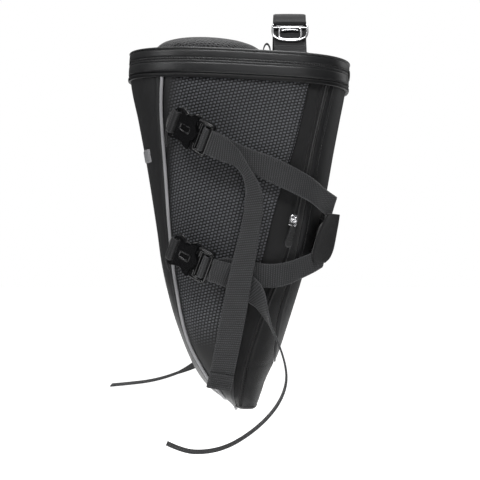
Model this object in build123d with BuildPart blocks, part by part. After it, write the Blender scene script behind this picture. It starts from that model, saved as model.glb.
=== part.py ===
from build123d import *
import math
import os

# Hard-shell tail bag, standing on its narrow end. Millimetres, +Z towards the lid, +X towards the
# base panel that lies on a seat, Y across the bag. The origin is on the flat of the base panel.

# Overall sizes
bag_length = 374.0
lid_width = 234.0
lid_depth = 187.0

# Shell
wall = 2.4
lining_gap = 0.3
lining_thickness = 0.9
seam_gap = 0.12
round_left = 2.5
round_right = 4.5
round_depth = 2.2
seat_slope = 0.302
board_thickness = 2.6
board_inset = 9.0

# Piping and gusset zip
piping_width = 3.4
piping_height = 1.7
chain_width = 3.6
chain_height = 1.3

# Rim and lid, heights measured up from the tilted rim
rim_height = 195.0
rim_tilt = 0.052
rim_overhang = 1.6
rim_wall = 2.6
binding_drop = 4.6
binding_height = 1.3
rim_band_height = 10.6
coil_height = 2.2
coil_gap = 0.3
lid_band_height = 7.6
lid_panel_thickness = 2.6
lid_panel_overhang = 1.4
lid_edge_piping = 1.3
lid_board_thickness = 1.8
lid_board_inset = 7.0
hinge_strip_width = 92.0
hinge_strip_thickness = 1.0

# Mesh pad on the lid
pad_center = -101.0
pad_half_length = 59.0
pad_half_depth = 68.0
pad_height = 23.0

# Carry handle
handle_center = -14.5
handle_width = 34.0
handle_thickness = 2.2
handle_buckle_width = 38.6
handle_buckle_height = 21.8
handle_buckle_thickness = 3.0
latch_clearance = 0.5

# Side-release buckles
buckle_width = 35.0
buckle_thickness = 9.0
socket_length = 27.0
plug_length = 18.6
buckle_gap = 0.4
buckle_wall = 2.0
web_width = 25.0
web_thickness = 1.8
web_slot = 4.2

# Harness pad under the bag
harness_standoff = 7.0
harness_thickness = 9.0
harness_height = 56.0
harness_depth = 108.0
harness_center = 31.0

# Zip sliders
slider_width = 9.0
slider_length = 12.0
slider_lift = 0.7
slider_height = 3.4

scale_x = lid_width / 234.0
scale_y = lid_depth / 187.0
scale_z = bag_length / 374.0

# Height, cover side, base side and half depth of the body at each station
stations = [
    (230, -186, 48, 93.5),
    (188, -181.3, 44.4, 92),
    (155, -174, 38.2, 91),
    (120, -167.4, 31.7, 89.5),
    (80, -160.9, 24.5, 87),
    (40, -154.6, 15.7, 83.5),
    (0, -149, 4, 79),
    (-40, -139.3, -8, 73),
    (-74, -128.1, -20, 66.5),
    (-100, -117.2, -31, 60),
    (-118, -106, -39.5, 53.5),
    (-130, -93.8, -43.4, 47),
    (-139, -78.3, -46.5, 39),
    (-144, -73, -48.5, 34),
]

# Seams seen square to the side, as (x, z) from the rim to the narrow end
piping_seam = [(-143, 225), (-146, 159), (-142.5, 101), (-138.5, 40), (-132.9, -12), (-120.8, -72),
               (-101, -110), (-83, -134), (-78, -152)]
panel_seam = [(10, 225), (-9.9, 132), (-28.9, 70), (-44.4, 11), (-60.9, -42), (-71.5, -92),
              (-73.5, -125), (-71, -152)]
zip_seam = [(26, 225), (4.7, 132), (-8.2, 70), (-22.6, 11), (-42.7, -42), (-58.9, -92), (-65, -125),
            (-68, -152)]
base_seam = [(34, 225), (11.2, 132), (1, 70), (-10.2, 11), (-26, -42), (-30, -71), (-30.5, -100),
             (-25, -125)]


def scaled(points):
    return [(x * scale_x, z * scale_z) for x, z in points]


def station_at(z):
    """Cover side, base side and half depth of the body at height z."""
    rows = [(s[0] * scale_z, s[1] * scale_x, s[2] * scale_x, s[3] * scale_y) for s in stations]
    z = min(max(z, rows[-1][0]), rows[0][0])
    for i in range(len(rows) - 1):
        upper = rows[i]
        lower = rows[i + 1]
        if z >= lower[0]:
            before = rows[max(i - 1, 0)]
            after = rows[min(i + 2, len(rows) - 1)]
            span = lower[0] - upper[0]
            t = (z - upper[0]) / span
            values = []
            for k in (1, 2, 3):
                slope_a = (lower[k] - before[k]) / (lower[0] - before[0]) * span
                slope_b = (after[k] - upper[k]) / (after[0] - upper[0]) * span
                start = (2 * t**3 - 3 * t**2 + 1) * upper[k] + (t**3 - 2 * t**2 + t) * slope_a
                values.append(start + (3 * t**2 - 2 * t**3) * lower[k] + (t**3 - t**2) * slope_b)
            return values


def rounded_outline(left, right, half_depth, grow=0.0, count=24):
    """Points of a rounded plan outline, rounder towards the cover and squarer towards the base."""
    center = (left + right) / 2
    points = []
    for i in range(count):
        angle = 2 * math.pi * (i + 0.5) / count
        cosine = math.cos(angle)
        sine = math.sin(angle)
        power = round_right if cosine > 0 else round_left
        reach = (right - center if cosine > 0 else center - left) + grow
        x = center + reach * math.copysign(abs(cosine) ** (2 / power), cosine)
        y = (half_depth + grow) * math.copysign(abs(sine) ** (2 / round_depth), sine)
        points.append((x, y))
    return points


def side_y(x, z, lift=0.0):
    """Y of the near side at (x, z), lifted off the surface by lift."""
    left, right, half_depth = station_at(z)
    center = (left + right) / 2
    if x > center:
        share = min((x - center) / (right - center), 0.999) ** round_right
    else:
        share = min((center - x) / (center - left), 0.999) ** round_left
    return -half_depth * (1 - share) ** (1 / round_depth) - lift


def body_form(grow):
    """Loft of the whole body, grown outwards by grow."""
    sections = []
    steps = [230, 188, 150, 110, 70, 30, -10, -45, -75, -100, -118, -131, -139, -144]
    for step in steps:
        z = step * scale_z
        left, right, half_depth = station_at(z)
        if step == steps[-1]:
            z = z - grow
        with BuildSketch(Plane.XY.offset(z)) as section:
            with BuildLine():
                Spline(rounded_outline(left, right, half_depth, grow), periodic=True)
            make_face()
        sections.append(section.sketch)
    loft(sections)


reach = 400.0
seat_plane = Plane(origin=(0, 0, 0), x_dir=(0, 1, 0), z_dir=(1, 0, -seat_slope))
rim_plane = Plane(origin=(-67 * scale_x, 0, rim_height * scale_z), x_dir=(1, 0, -rim_tilt),
                  z_dir=(rim_tilt, 0, 1))


def strip(left_seam, right_seam, mode=Mode.INTERSECT):
    """Keep what lies between two seams, looking square to the side."""
    with BuildSketch(Plane.XZ) as between:
        with BuildLine():
            first = Spline(scaled(left_seam)) if left_seam else Line((-reach, reach), (-reach, -reach))
            last = Spline(scaled(right_seam)) if right_seam else Line((reach, reach), (reach, -reach))
            Line(first @ 0, last @ 0)
            Line(first @ 1, last @ 1)
        make_face()
    extrude(between.sketch, amount=reach, both=True, mode=mode)


def shifted(seam, distance):
    return [(x + distance / scale_x, z) for x, z in seam]


def half(side, mode=Mode.INTERSECT):
    """Keep the near half (side -1) or the far half (side 1)."""
    with Locations((0, side * (reach / 2 + 0.1), 0)):
        Box(2 * reach, reach, 2 * reach, mode=mode)


def lid_plate(start, height, grow, mode=Mode.ADD):
    """Plate of the rim's outline, from start up to start + height above the rim."""
    left, right, half_depth = station_at(rim_height * scale_z)
    middle = rim_plane.origin.X
    with BuildSketch(rim_plane.offset(start)) as outline:
        with BuildLine():
            Spline(rounded_outline(left - middle, right - middle, half_depth, grow), periodic=True)
        make_face()
    extrude(outline.sketch, amount=height, mode=mode)


def lid_ring(start, height, grow, thickness):
    """Ring that follows the rim, from start up to start + height."""
    lid_plate(start, height, grow)
    lid_plate(start, height, grow - thickness, mode=Mode.SUBTRACT)


def ribbon(edges, thickness):
    """Webbing through pairs of edge points, straight from pair to pair."""
    sections = []
    centers = [(Vector(*a) + Vector(*b)) * 0.5 for a, b in edges]
    for i, (a, b) in enumerate(edges):
        across = Vector(*b) - Vector(*a)
        along = centers[min(i + 1, len(edges) - 1)] - centers[max(i - 1, 0)]
        along = along - across * (along.dot(across) / across.dot(across))
        with BuildSketch(Plane(origin=centers[i], x_dir=across, z_dir=along)) as section:
            Rectangle(across.length, thickness)
        sections.append(section.sketch)
    loft(sections, ruled=True)


def save(piece, name):
    piece.part.label = name
    export_step(piece.part, "parts/" + name + ".step")


def save_pair(piece, name):
    """Write the near piece and its mirror image on the far side."""
    save(piece, name + "_near")
    with BuildPart() as twin:
        add(mirror(piece.part, about=Plane.XZ))
    save(twin, name + "_far")


os.makedirs("parts", exist_ok=True)

# Whole outer body, cut flat along the seat plane and along the rim
with BuildPart() as outer_form:
    body_form(0)
    split(bisect_by=seat_plane, keep=Keep.BOTTOM)
    split(bisect_by=rim_plane, keep=Keep.BOTTOM)

with BuildPart() as inner_form:
    body_form(-wall)
    split(bisect_by=seat_plane.offset(-wall), keep=Keep.BOTTOM)

with BuildPart() as shell:
    add(outer_form.part)
    add(inner_form.part, mode=Mode.SUBTRACT)

with BuildPart() as cover_panel:
    add(shell.part)
    strip(None, shifted(piping_seam, -piping_width / 2 - seam_gap))
save(cover_panel, "cover_panel")

with BuildPart() as side_panel:
    add(shell.part)
    strip(shifted(piping_seam, piping_width / 2 + seam_gap), shifted(panel_seam, -seam_gap))
    half(-1)
save_pair(side_panel, "side_panel")

with BuildPart() as gusset_upper_tape:
    add(shell.part)
    strip(shifted(panel_seam, seam_gap), shifted(zip_seam, -chain_width / 2 - seam_gap))
save(gusset_upper_tape, "gusset_upper_tape")

with BuildPart() as gusset_lower_tape:
    add(shell.part)
    strip(shifted(zip_seam, chain_width / 2 + seam_gap), shifted(base_seam, -seam_gap))
save(gusset_lower_tape, "gusset_lower_tape")

with BuildPart() as base_panel:
    add(shell.part)
    strip(shifted(base_seam, seam_gap), None)
save(base_panel, "base_panel")

# Raised strips: the reflective piping and the zip chain stand proud of the body
with BuildPart() as piping_form:
    body_form(piping_height)
    add(inner_form.part, mode=Mode.SUBTRACT)
    split(bisect_by=rim_plane.offset(-binding_drop - seam_gap), keep=Keep.BOTTOM)
    strip(shifted(piping_seam, -piping_width / 2), shifted(piping_seam, piping_width / 2))
save(piping_form, "reflective_piping")

with BuildPart() as gusset_zip_chain:
    body_form(chain_height)
    add(inner_form.part, mode=Mode.SUBTRACT)
    split(bisect_by=rim_plane.offset(-binding_drop - seam_gap), keep=Keep.BOTTOM)
    strip(shifted(zip_seam, -chain_width / 2), shifted(zip_seam, chain_width / 2))
save(gusset_zip_chain, "gusset_zip_chain")

# Fabric lining, a cup inside the shell
lining_top = rim_plane.offset(-1.0)
with BuildPart() as lining:
    body_form(-wall - lining_gap)
    split(bisect_by=seat_plane.offset(-wall - lining_gap), keep=Keep.BOTTOM)
    split(bisect_by=lining_top, keep=Keep.BOTTOM)
with BuildPart() as lining_core:
    body_form(-wall - lining_gap - lining_thickness)
    split(bisect_by=seat_plane.offset(-wall - lining_gap - lining_thickness), keep=Keep.BOTTOM)
with BuildPart() as lining_cup:
    add(lining.part)
    add(lining_core.part, mode=Mode.SUBTRACT)
save(lining_cup, "lining")

# Stiff board between the lining and the base panel's flat
board_length = 126.0
board_width = 72.0
board_gap = 1.4
with BuildPart() as base_board:
    board_face = seat_plane.offset(-wall - lining_gap - lining_thickness - board_gap)
    with BuildSketch(board_face):
        RectangleRounded(board_width * scale_y, board_length * scale_z, board_inset)
    extrude(amount=-board_thickness)
save(base_board, "base_board")

# Blank reflective badge on the cover
badge_bottom = 110.0
badge_height = 13.0
badge_width = 84.0
badge_thickness = 0.9
with BuildPart() as badge_core:
    body_form(0.1)
with BuildPart() as badge:
    body_form(badge_thickness + 0.1)
    add(badge_core.part, mode=Mode.SUBTRACT)
    with BuildSketch(Plane.YZ.offset(-reach)):
        with Locations((0, (badge_bottom + badge_height / 2) * scale_z)):
            RectangleRounded(badge_width * scale_y, badge_height, 3)
    extrude(amount=reach - 100 * scale_x, mode=Mode.INTERSECT)
save(badge, "cover_badge")

# Rim: binding round the body's edge, the fixed band, and the fixed half of the lid zip
with BuildPart() as rim_binding:
    lid_ring(-binding_drop, binding_drop - seam_gap, rim_overhang + binding_height, 6)
    add(outer_form.part, mode=Mode.SUBTRACT)
    add(inner_form.part, mode=Mode.SUBTRACT)
save(rim_binding, "rim_binding")

with BuildPart() as rim_band:
    lid_ring(0, rim_band_height, rim_overhang, rim_wall + rim_overhang)
save(rim_band, "rim_band")

rim_coil_base = rim_band_height + seam_gap
with BuildPart() as rim_zip_coil:
    lid_ring(rim_coil_base, coil_height, rim_overhang + 0.6, rim_wall + 0.6)
save(rim_zip_coil, "rim_zip_coil")

# Lid: the moving half of the zip, its band, top panel, edge piping and inner board
lid_coil_base = rim_coil_base + coil_height + coil_gap
with BuildPart() as lid_zip_coil:
    lid_ring(lid_coil_base, coil_height, rim_overhang + 0.6, rim_wall + 0.6)
save(lid_zip_coil, "lid_zip_coil")

lid_band_base = lid_coil_base + coil_height + seam_gap
with BuildPart() as lid_band:
    lid_ring(lid_band_base, lid_band_height, rim_overhang, rim_wall + rim_overhang)
save(lid_band, "lid_band")

lid_panel_base = lid_band_base + lid_band_height + seam_gap
with BuildPart() as lid_top_panel:
    lid_plate(lid_panel_base, lid_panel_thickness, rim_overhang + lid_panel_overhang - lid_edge_piping)
save(lid_top_panel, "lid_top_panel")

with BuildPart() as lid_edge:
    lid_ring(lid_panel_base, lid_edge_piping, rim_overhang + lid_panel_overhang, lid_edge_piping - seam_gap)
save(lid_edge, "lid_edge_piping")

with BuildPart() as lid_board:
    lid_plate(lid_panel_base - seam_gap - lid_board_thickness, lid_board_thickness, -lid_board_inset)
save(lid_board, "lid_board")

lid_top = lid_panel_base + lid_panel_thickness + seam_gap

# Fabric hinge outside the base side of the rim
hinge_x = (station_at(rim_height * scale_z)[1] + rim_overhang + 0.6 + 0.3) - rim_plane.origin.X
hinge_height = (rim_coil_base + coil_height + lid_coil_base) / 2
with BuildPart() as lid_hinge:
    with BuildSketch(rim_plane.offset(hinge_height)):
        with Locations((hinge_x + hinge_strip_thickness / 2, 0)):
            Rectangle(hinge_strip_thickness, hinge_strip_width * scale_y)
    extrude(amount=7.0, both=True)
save(lid_hinge, "lid_hinge_strip")

# Mesh pad, a dome on the lid
with BuildPart() as mesh_pad:
    pad_x = (pad_center * scale_x - rim_plane.origin.X)
    pad_sections = []
    for rise, inset in ((0, 0), (0.5, 3), (0.8, 12), (0.95, 26), (1.0, 40)):
        with BuildSketch(rim_plane.offset(lid_top + rise * pad_height)) as level:
            with Locations((pad_x, 0)):
                Ellipse(pad_half_length * scale_x - inset, pad_half_depth * scale_y - inset)
        pad_sections.append(level.sketch)
    loft(pad_sections, ruled=True)
save(mesh_pad, "mesh_pad")

# Side-release buckles. Each lies in its own plane, with local X along the release direction.
upper_buckle_center = (-115.0, -99.0, 138.0)
upper_buckle_along = (0.786, -0.375, -0.491)
lower_buckle_center = (-116.0, -84.5, 11.5)
lower_buckle_along = (0.82, -0.33, -0.467)
buckle_across = (-0.344, 0.394, -0.852)


def buckle_frame(center, along):
    x_dir = Vector(*along).normalized()
    normal = Vector(*buckle_across).cross(x_dir)
    origin = (center[0] * scale_x, center[1] * scale_y, center[2] * scale_z)
    return Plane(origin=origin, x_dir=x_dir, z_dir=normal)


socket_start = -(socket_length + buckle_gap + plug_length) / 2
socket_end = socket_start + socket_length
plug_start = socket_end + buckle_gap
plug_end = plug_start + plug_length
arm_reach = 17.0
arm_width = 4.2
arm_height = 4.4
window_length = 8.0
slot_center = socket_start + 4.4
bar_center = plug_start + 12.0


def local_box(frame, x_range, y_range, z_range, mode=Mode.ADD):
    """Box given by its ranges in a buckle's own plane."""
    with BuildSketch(frame.offset(z_range[0])) as base:
        with Locations(((x_range[0] + x_range[1]) / 2, (y_range[0] + y_range[1]) / 2)):
            Rectangle(x_range[1] - x_range[0], y_range[1] - y_range[0])
    extrude(base.sketch, amount=z_range[1] - z_range[0], mode=mode)


stub_gap = 2.2


def make_socket(frame):
    half_width = buckle_width / 2
    half_thick = buckle_thickness / 2
    cavity = half_thick - buckle_wall
    with BuildSketch(frame.offset(-half_thick)) as outline:
        with Locations(((socket_start + socket_end) / 2, 0)):
            RectangleRounded(socket_length, buckle_width, 3.0)
    extrude(outline.sketch, amount=buckle_thickness)
    local_box(frame, (slot_center + web_slot, socket_end + 1), (-half_width + 3, half_width - 3),
              (-cavity, cavity), Mode.SUBTRACT)
    local_box(frame, (slot_center - web_slot / 2, slot_center + web_slot / 2),
              (-web_width / 2 - 0.8, web_width / 2 + 0.8), (-half_thick - 1, half_thick + 1), Mode.SUBTRACT)
    for side in (-1, 1):
        edge = side * half_width
        local_box(frame, (socket_end - 5 - window_length, socket_end - 5),
                  (min(edge, edge - side * 4), max(edge, edge - side * 4)), (-cavity, cavity), Mode.SUBTRACT)
    local_box(frame, (slot_center + 6, socket_end - 7), (-2, 2), (0, half_thick + 1), Mode.SUBTRACT)


def make_plug(frame):
    half_width = buckle_width / 2
    half_thick = buckle_thickness / 2
    with BuildSketch(frame.offset(-half_thick + 0.4)) as outline:
        with Locations(((plug_start + plug_end) / 2, 0)):
            RectangleRounded(plug_length, buckle_width - 0.6, 3.0)
    extrude(outline.sketch, amount=buckle_thickness - 0.8)
    for start, end in ((bar_center - 6.2, bar_center - 2.0), (bar_center + 2.0, plug_end - 2.4)):
        local_box(frame, (start, end), (-web_width / 2 - 0.8, web_width / 2 + 0.8),
                  (-half_thick - 1, half_thick + 1), Mode.SUBTRACT)
    local_box(frame, (plug_start - 12, plug_start + 1), (-3, 3), (-1.2, 1.2))


def make_arms(frame):
    half_width = buckle_width / 2
    for side in (-1, 1):
        inner = side * (half_width - 4.0 - arm_width / 2)
        local_box(frame, (plug_start - arm_reach, plug_start),
                  (inner - arm_width / 2, inner + arm_width / 2), (-arm_height / 2, arm_height / 2))
        head = side * (half_width - 2.2)
        local_box(frame, (socket_end - 5.4 - window_length + 0.8, socket_end - 5.4),
                  (head - 2.0, head + 2.0), (-arm_height / 2, arm_height / 2))


def make_stub(frame, anchor):
    """Webbing from the cover's seam up to the socket's end."""
    low = frame.from_local_coords(Vector(socket_start - stub_gap, -web_width / 2, -0.6))
    high = frame.from_local_coords(Vector(socket_start - stub_gap, web_width / 2, -0.6))
    ribbon([anchor, (tuple(low), tuple(high))], web_thickness)


buckles = {
    "upper": (upper_buckle_center, upper_buckle_along),
    "lower": (lower_buckle_center, lower_buckle_along),
}

# Webbing edges, pairs of points from the buckle outwards
stub_anchor = {
    "upper": ((-141.5, -74.5, 124.0), (-140.5, -78.0, 149.0)),
    "lower": ((-139.0, -61.0, -2.0), (-138.5, -62.5, 23.0)),
}
load_web = {
    "upper": [((-98.8, -101.2, 115.8), (-90.2, -111, 137)), ((-80, -98, 107), (-79, -102, 131)),
              ((-60, -96.5, 98), (-60, -97, 122)), ((-37, -96, 87), (-33, -97, 112)),
              ((-15, -93, 77), (-10, -93, 101)), ((3, -84, 68), (6, -84, 92)),
              ((15, -71, 59), (19, -70, 82)), ((25, -54.6, 51), (32, -54.6, 74))],
    "lower": [((-99, -85.5, -10), (-90.4, -95.3, 11.2)), ((-80, -84.5, -12), (-79, -87, 12)),
              ((-60, -83.5, -15), (-60, -84.5, 9)), ((-39, -83, -18), (-38, -83.5, 6)),
              ((-22, -80, -16), (-20, -80, 8)), ((-5, -71, -9), (-2, -71, 14)),
              ((8, -62.5, -3), (13, -62.5, 20)), ((17, -54.6, 2), (23, -54.6, 24))],
}
upper_tail = [((-100.5, -105.2, 114.6), (-92, -115, 136)), ((-86, -107, 108), (-83, -112, 132)),
              ((-73, -106, 103), (-69, -107, 120)), ((-65, -103, 93), (-57, -103, 101)),
              ((-62, -100, 80), (-47, -99, 84)), ((-63, -98, 62), (-44, -97, 64)),
              ((-67, -97, 38), (-47, -96.5, 40)), ((-74, -96.5, 12), (-51, -96.5, 14)),
              ((-80, -95.5, -14), (-56, -95.5, -14)), ((-85, -90, -40), (-60, -91, -40)),
              ((-90, -83, -66), (-65, -83, -67)), ((-95, -76, -91), (-70, -76, -92)),
              ((-101, -66, -118), (-76, -66, -122))]


def main_edges(edges):
    return [tuple((p[0] * scale_x, p[1] * scale_y, p[2] * scale_z) for p in pair) for pair in edges]


for name, (center, along) in buckles.items():
    frame = buckle_frame(center, along)
    with BuildPart() as socket:
        make_socket(frame)
    save_pair(socket, name + "_buckle_socket")
    with BuildPart() as plug:
        make_plug(frame)
    save_pair(plug, name + "_buckle_plug")
    with BuildPart() as arms:
        make_arms(frame)
    save_pair(arms, name + "_buckle_arms")
    with BuildPart() as stub:
        make_stub(frame, main_edges([stub_anchor[name]])[0])
    save_pair(stub, name + "_buckle_stub")
    with BuildPart() as load_strap:
        ribbon(main_edges(load_web[name]), web_thickness)
    save_pair(load_strap, name + "_load_strap")

with BuildPart() as tail_upper:
    ribbon(main_edges(upper_tail), web_thickness)
save_pair(tail_upper, "upper_tail")

# Loose tails of the lower buckles: flat webbing that hangs free, one to each side
near_route = [(-96, -97.2, 0), (-84, -92.6, -3), (-71, -88.4, -9), (-58, -86.6, -18), (-47, -87.4, -31),
              (-39, -88.5, -50), (-28, -88, -74), (-21, -87, -96), (-20, -86, -114), (-27, -84, -133),
              (-41, -82, -151), (-60, -80, -167), (-81, -79, -179), (-103, -78, -184), (-124, -77, -183),
              (-141, -76, -175)]
near_turns = [-26, -15, -8, -22, -62, -86] + 10 * [-90]
far_route = [(-96, 97.2, 0), (-85, 91.5, -4), (-77, 88, -15), (-73, 85.5, -32), (-75, 82.3, -50), (-82, 78.3, -68),
             (-92, 74.4, -86), (-105, 71, -101), (-121, 67.5, -111), (-140, 64, -119), (-161, 61, -125),
             (-184, 58, -128), (-209, 56, -130)]
far_turns = [-24, -10, 0, 0, 3, 8, 26, 52, 78]


def tail_edges(route, turns):
    """Edge pairs of a tail that leaves flat on the side and twists to stand on edge across Y."""
    points = [Vector(x * scale_x, y * scale_y, z * scale_z) for x, y, z in route]
    edges = []
    for i, point in enumerate(points):
        along = points[min(i + 1, len(points) - 1)] - points[max(i - 1, 0)]
        turn = math.radians(turns[i] if i < len(turns) else 90)
        flat = Vector(0, 1, 0).cross(along).normalized()
        edge = flat * math.cos(turn) + Vector(0, math.copysign(1, point.Y), 0) * math.sin(turn)
        edges.append((tuple(point + edge * (web_width / 2)), tuple(point - edge * (web_width / 2))))
    return edges


with BuildPart() as lower_tail_near:
    ribbon(tail_edges(near_route, near_turns), web_thickness)
save(lower_tail_near, "lower_tail_near")

with BuildPart() as lower_tail_far:
    ribbon(tail_edges(far_route, far_turns), web_thickness)
save(lower_tail_far, "lower_tail_far")

# Harness pad, held off the base by its four straps
harness_plane = Plane(origin=seat_plane.from_local_coords(Vector(0, 0, 0)), x_dir=(0, 1, 0),
                      z_dir=(1, 0, -seat_slope))
harness_along = harness_center * scale_z
with BuildPart() as harness_pad:
    with BuildSketch(harness_plane.offset(harness_standoff)) as pad_outline:
        with Locations((0, harness_along)):
            RectangleRounded(harness_depth * scale_y, harness_height, 10)
    extrude(pad_outline.sketch, amount=harness_thickness)
save(harness_pad, "harness_pad")

# Gusset zip sliders and their cord pulls
slider_top = (-14.5, 50.0)
slider_end = (-22.6, 24.0)
pull_length = 27.0
pull_width = 8.0
pull_thickness = 4.0


def slider_frame():
    """Plane on the gusset with local X down the zip."""
    start = Vector(slider_top[0] * scale_x, side_y(slider_top[0] * scale_x, slider_top[1] * scale_z),
                   slider_top[1] * scale_z)
    end = Vector(slider_end[0] * scale_x, side_y(slider_end[0] * scale_x, slider_end[1] * scale_z),
                 slider_end[1] * scale_z)
    down = (end - start).normalized()
    left = Vector(slider_top[0] * scale_x - 4, side_y(slider_top[0] * scale_x - 4, start.Z), start.Z)
    normal = down.cross(start - left).normalized()
    if normal.Y > 0:
        normal = normal * -1
    return Plane(origin=start, x_dir=down, z_dir=normal)


zip_frame = slider_frame()
slider_base = chain_height + slider_lift
with BuildPart() as gusset_slider:
    with BuildSketch(zip_frame.offset(slider_base)) as slider_outline:
        RectangleRounded(slider_length, slider_width, 2.5)
    extrude(slider_outline.sketch, amount=slider_height)
    bridge_base = slider_base + slider_height
    local_box(zip_frame, (-4, 1.2), (-1.8, 1.8), (bridge_base, bridge_base + 2.6))
    local_box(zip_frame, (-2.6, -0.2), (-3, 3), (bridge_base + 0.4, bridge_base + 1.6), Mode.SUBTRACT)
save_pair(gusset_slider, "gusset_slider")

pull_base = slider_base + slider_height + 0.5
with BuildPart() as gusset_pull:
    local_box(zip_frame, (2.4, pull_length), (-pull_width / 2, pull_width / 2),
              (pull_base, pull_base + pull_thickness))
save_pair(gusset_pull, "gusset_pull")

# Lid zip slider and its pull, parked on the far side
lid_slider_x = -95.0
pull_clearance = 1.2
lid_slider_gap = 2.7
lid_slider_plane = rim_plane.offset(hinge_height)
lid_slider_y = -side_y(lid_slider_x * scale_x, rim_height * scale_z) + rim_overhang + 0.6 + lid_slider_gap
with BuildPart() as lid_slider:
    with BuildSketch(lid_slider_plane.offset(-slider_width / 2)) as slider_plan:
        with Locations((lid_slider_x * scale_x - rim_plane.origin.X, lid_slider_y + slider_height / 2)):
            Rectangle(slider_length, slider_height)
    extrude(slider_plan.sketch, amount=slider_width)
save(lid_slider, "lid_slider")

with BuildPart() as lid_pull:
    with BuildSketch(lid_slider_plane.offset(-slider_width / 2 - pull_clearance)) as pull_plan:
        with Locations((lid_slider_x * scale_x - rim_plane.origin.X, lid_slider_y + slider_height / 2)):
            RectangleRounded(pull_width, 2.6, 1.0)
    extrude(pull_plan.sketch, amount=-pull_length)
save(lid_pull, "lid_pull")

# Carry handle on the lid: near webbing, metal buckle with its latch, far webbing over the top
lid_at_handle = rim_plane.from_local_coords(
    Vector(handle_center * scale_x - rim_plane.origin.X, 0, lid_top)).Z
near_web = [(-62, 2.4), (-46, 2.6), (-32, 6.0), (-25.0, 14.4)]
far_web = [(-12, 42.0), (-4, 49.8), (8, 51.2), (22, 46.4), (38, 32.4), (52, 16.4), (62, 6.6), (70, 2.7),
           (84, 2.5)]


def handle_edges(route):
    x = handle_center * scale_x
    edge = handle_width / 2
    return [((x - edge, y, lid_at_handle + z), (x + edge, y, lid_at_handle + z)) for y, z in route]


with BuildPart() as handle_near:
    ribbon(handle_edges(near_web), handle_thickness)
save(handle_near, "handle_web_near")

with BuildPart() as handle_far:
    ribbon(handle_edges(far_web), handle_thickness)
save(handle_far, "handle_web_far")

handle_frame = Plane(origin=(handle_center * scale_x, -19.0, lid_at_handle + 29.0), x_dir=(1, 0, 0),
                     z_dir=(0, -0.91, 0.42))
window_width = 21.0
window_height = 14.6
with BuildPart() as handle_buckle:
    with BuildSketch(handle_frame.offset(-handle_buckle_thickness / 2)) as buckle_plate:
        RectangleRounded(handle_buckle_width, handle_buckle_height, 7.5)
        with Locations((0, -0.6)):
            RectangleRounded(window_width, window_height, 5.5, mode=Mode.SUBTRACT)
    extrude(buckle_plate.sketch, amount=handle_buckle_thickness)
save(handle_buckle, "handle_buckle")

with BuildPart() as handle_latch:
    with BuildSketch(handle_frame.offset(-handle_buckle_thickness / 2)) as latch_plate:
        with Locations((0, 2.0)):
            RectangleRounded(window_width - 2 * latch_clearance - 2.4, 4.2, 1.2)
    extrude(latch_plate.sketch, amount=handle_buckle_thickness - 0.6)
save(handle_latch, "handle_latch")

# Small webbing loop beside the handle
loop_length = 15.0
loop_width = 8.5
loop_thickness = 1.2
loop_center = (-39.0, lid_at_handle + loop_length / 2 + 2.2)
with BuildPart() as side_loop:
    with BuildSketch(Plane.XZ.offset(20)) as loop_ring:
        with Locations((loop_center[0] * scale_x, loop_center[1])):
            Ellipse(loop_width / 2, loop_length / 2)
            Ellipse(loop_width / 2 - loop_thickness, loop_length / 2 - loop_thickness, mode=Mode.SUBTRACT)
    extrude(loop_ring.sketch, amount=10)
save(side_loop, "handle_loop")
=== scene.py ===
import functools
import math
import random

import bmesh
import bpy
from mathutils import Matrix, Vector, noise


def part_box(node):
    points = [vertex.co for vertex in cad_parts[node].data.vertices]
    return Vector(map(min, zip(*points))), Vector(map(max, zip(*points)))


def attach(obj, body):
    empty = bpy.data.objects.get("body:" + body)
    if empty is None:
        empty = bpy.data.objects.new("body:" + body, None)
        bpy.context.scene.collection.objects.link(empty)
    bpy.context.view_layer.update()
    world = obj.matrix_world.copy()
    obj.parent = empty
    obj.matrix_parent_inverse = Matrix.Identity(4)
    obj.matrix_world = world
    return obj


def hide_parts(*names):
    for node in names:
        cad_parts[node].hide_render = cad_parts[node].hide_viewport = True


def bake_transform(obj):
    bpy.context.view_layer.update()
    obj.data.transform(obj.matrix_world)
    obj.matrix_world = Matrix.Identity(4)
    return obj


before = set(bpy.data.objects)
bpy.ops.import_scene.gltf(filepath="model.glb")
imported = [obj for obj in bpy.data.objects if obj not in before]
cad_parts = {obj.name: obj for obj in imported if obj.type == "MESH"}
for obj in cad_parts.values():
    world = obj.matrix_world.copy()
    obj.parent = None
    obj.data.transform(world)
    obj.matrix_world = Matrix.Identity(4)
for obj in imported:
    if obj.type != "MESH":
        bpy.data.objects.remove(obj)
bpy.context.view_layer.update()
random.seed(7)
mm = 0.001
print("frame loaded")


def show(thing):
    bpy.context.scene.collection.objects.link(thing)


# Shader helpers

class Wire:
    def __init__(self, shader, socket):
        self.shader = shader
        self.socket = socket

    def maths(self, operation, first, second=0.0, third=0.0):
        return self.shader.node("ShaderNodeMath", {"operation": operation}, {0: first, 1: second, 2: third})

    def __add__(self, other):
        return self.maths("ADD", self, other)

    def __sub__(self, other):
        return self.maths("SUBTRACT", self, other)

    def __mul__(self, other):
        return self.maths("MULTIPLY", self, other)

    def __truediv__(self, other):
        return self.maths("DIVIDE", self, other)

    def __radd__(self, other):
        return self.maths("ADD", other, self)

    def __rsub__(self, other):
        return self.maths("SUBTRACT", other, self)

    def __rmul__(self, other):
        return self.maths("MULTIPLY", other, self)

    def __pow__(self, power):
        return self.maths("POWER", self, power)

    def does(self, operation, other=0.0, third=0.0):
        return self.maths(operation, self, other, third)


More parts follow.
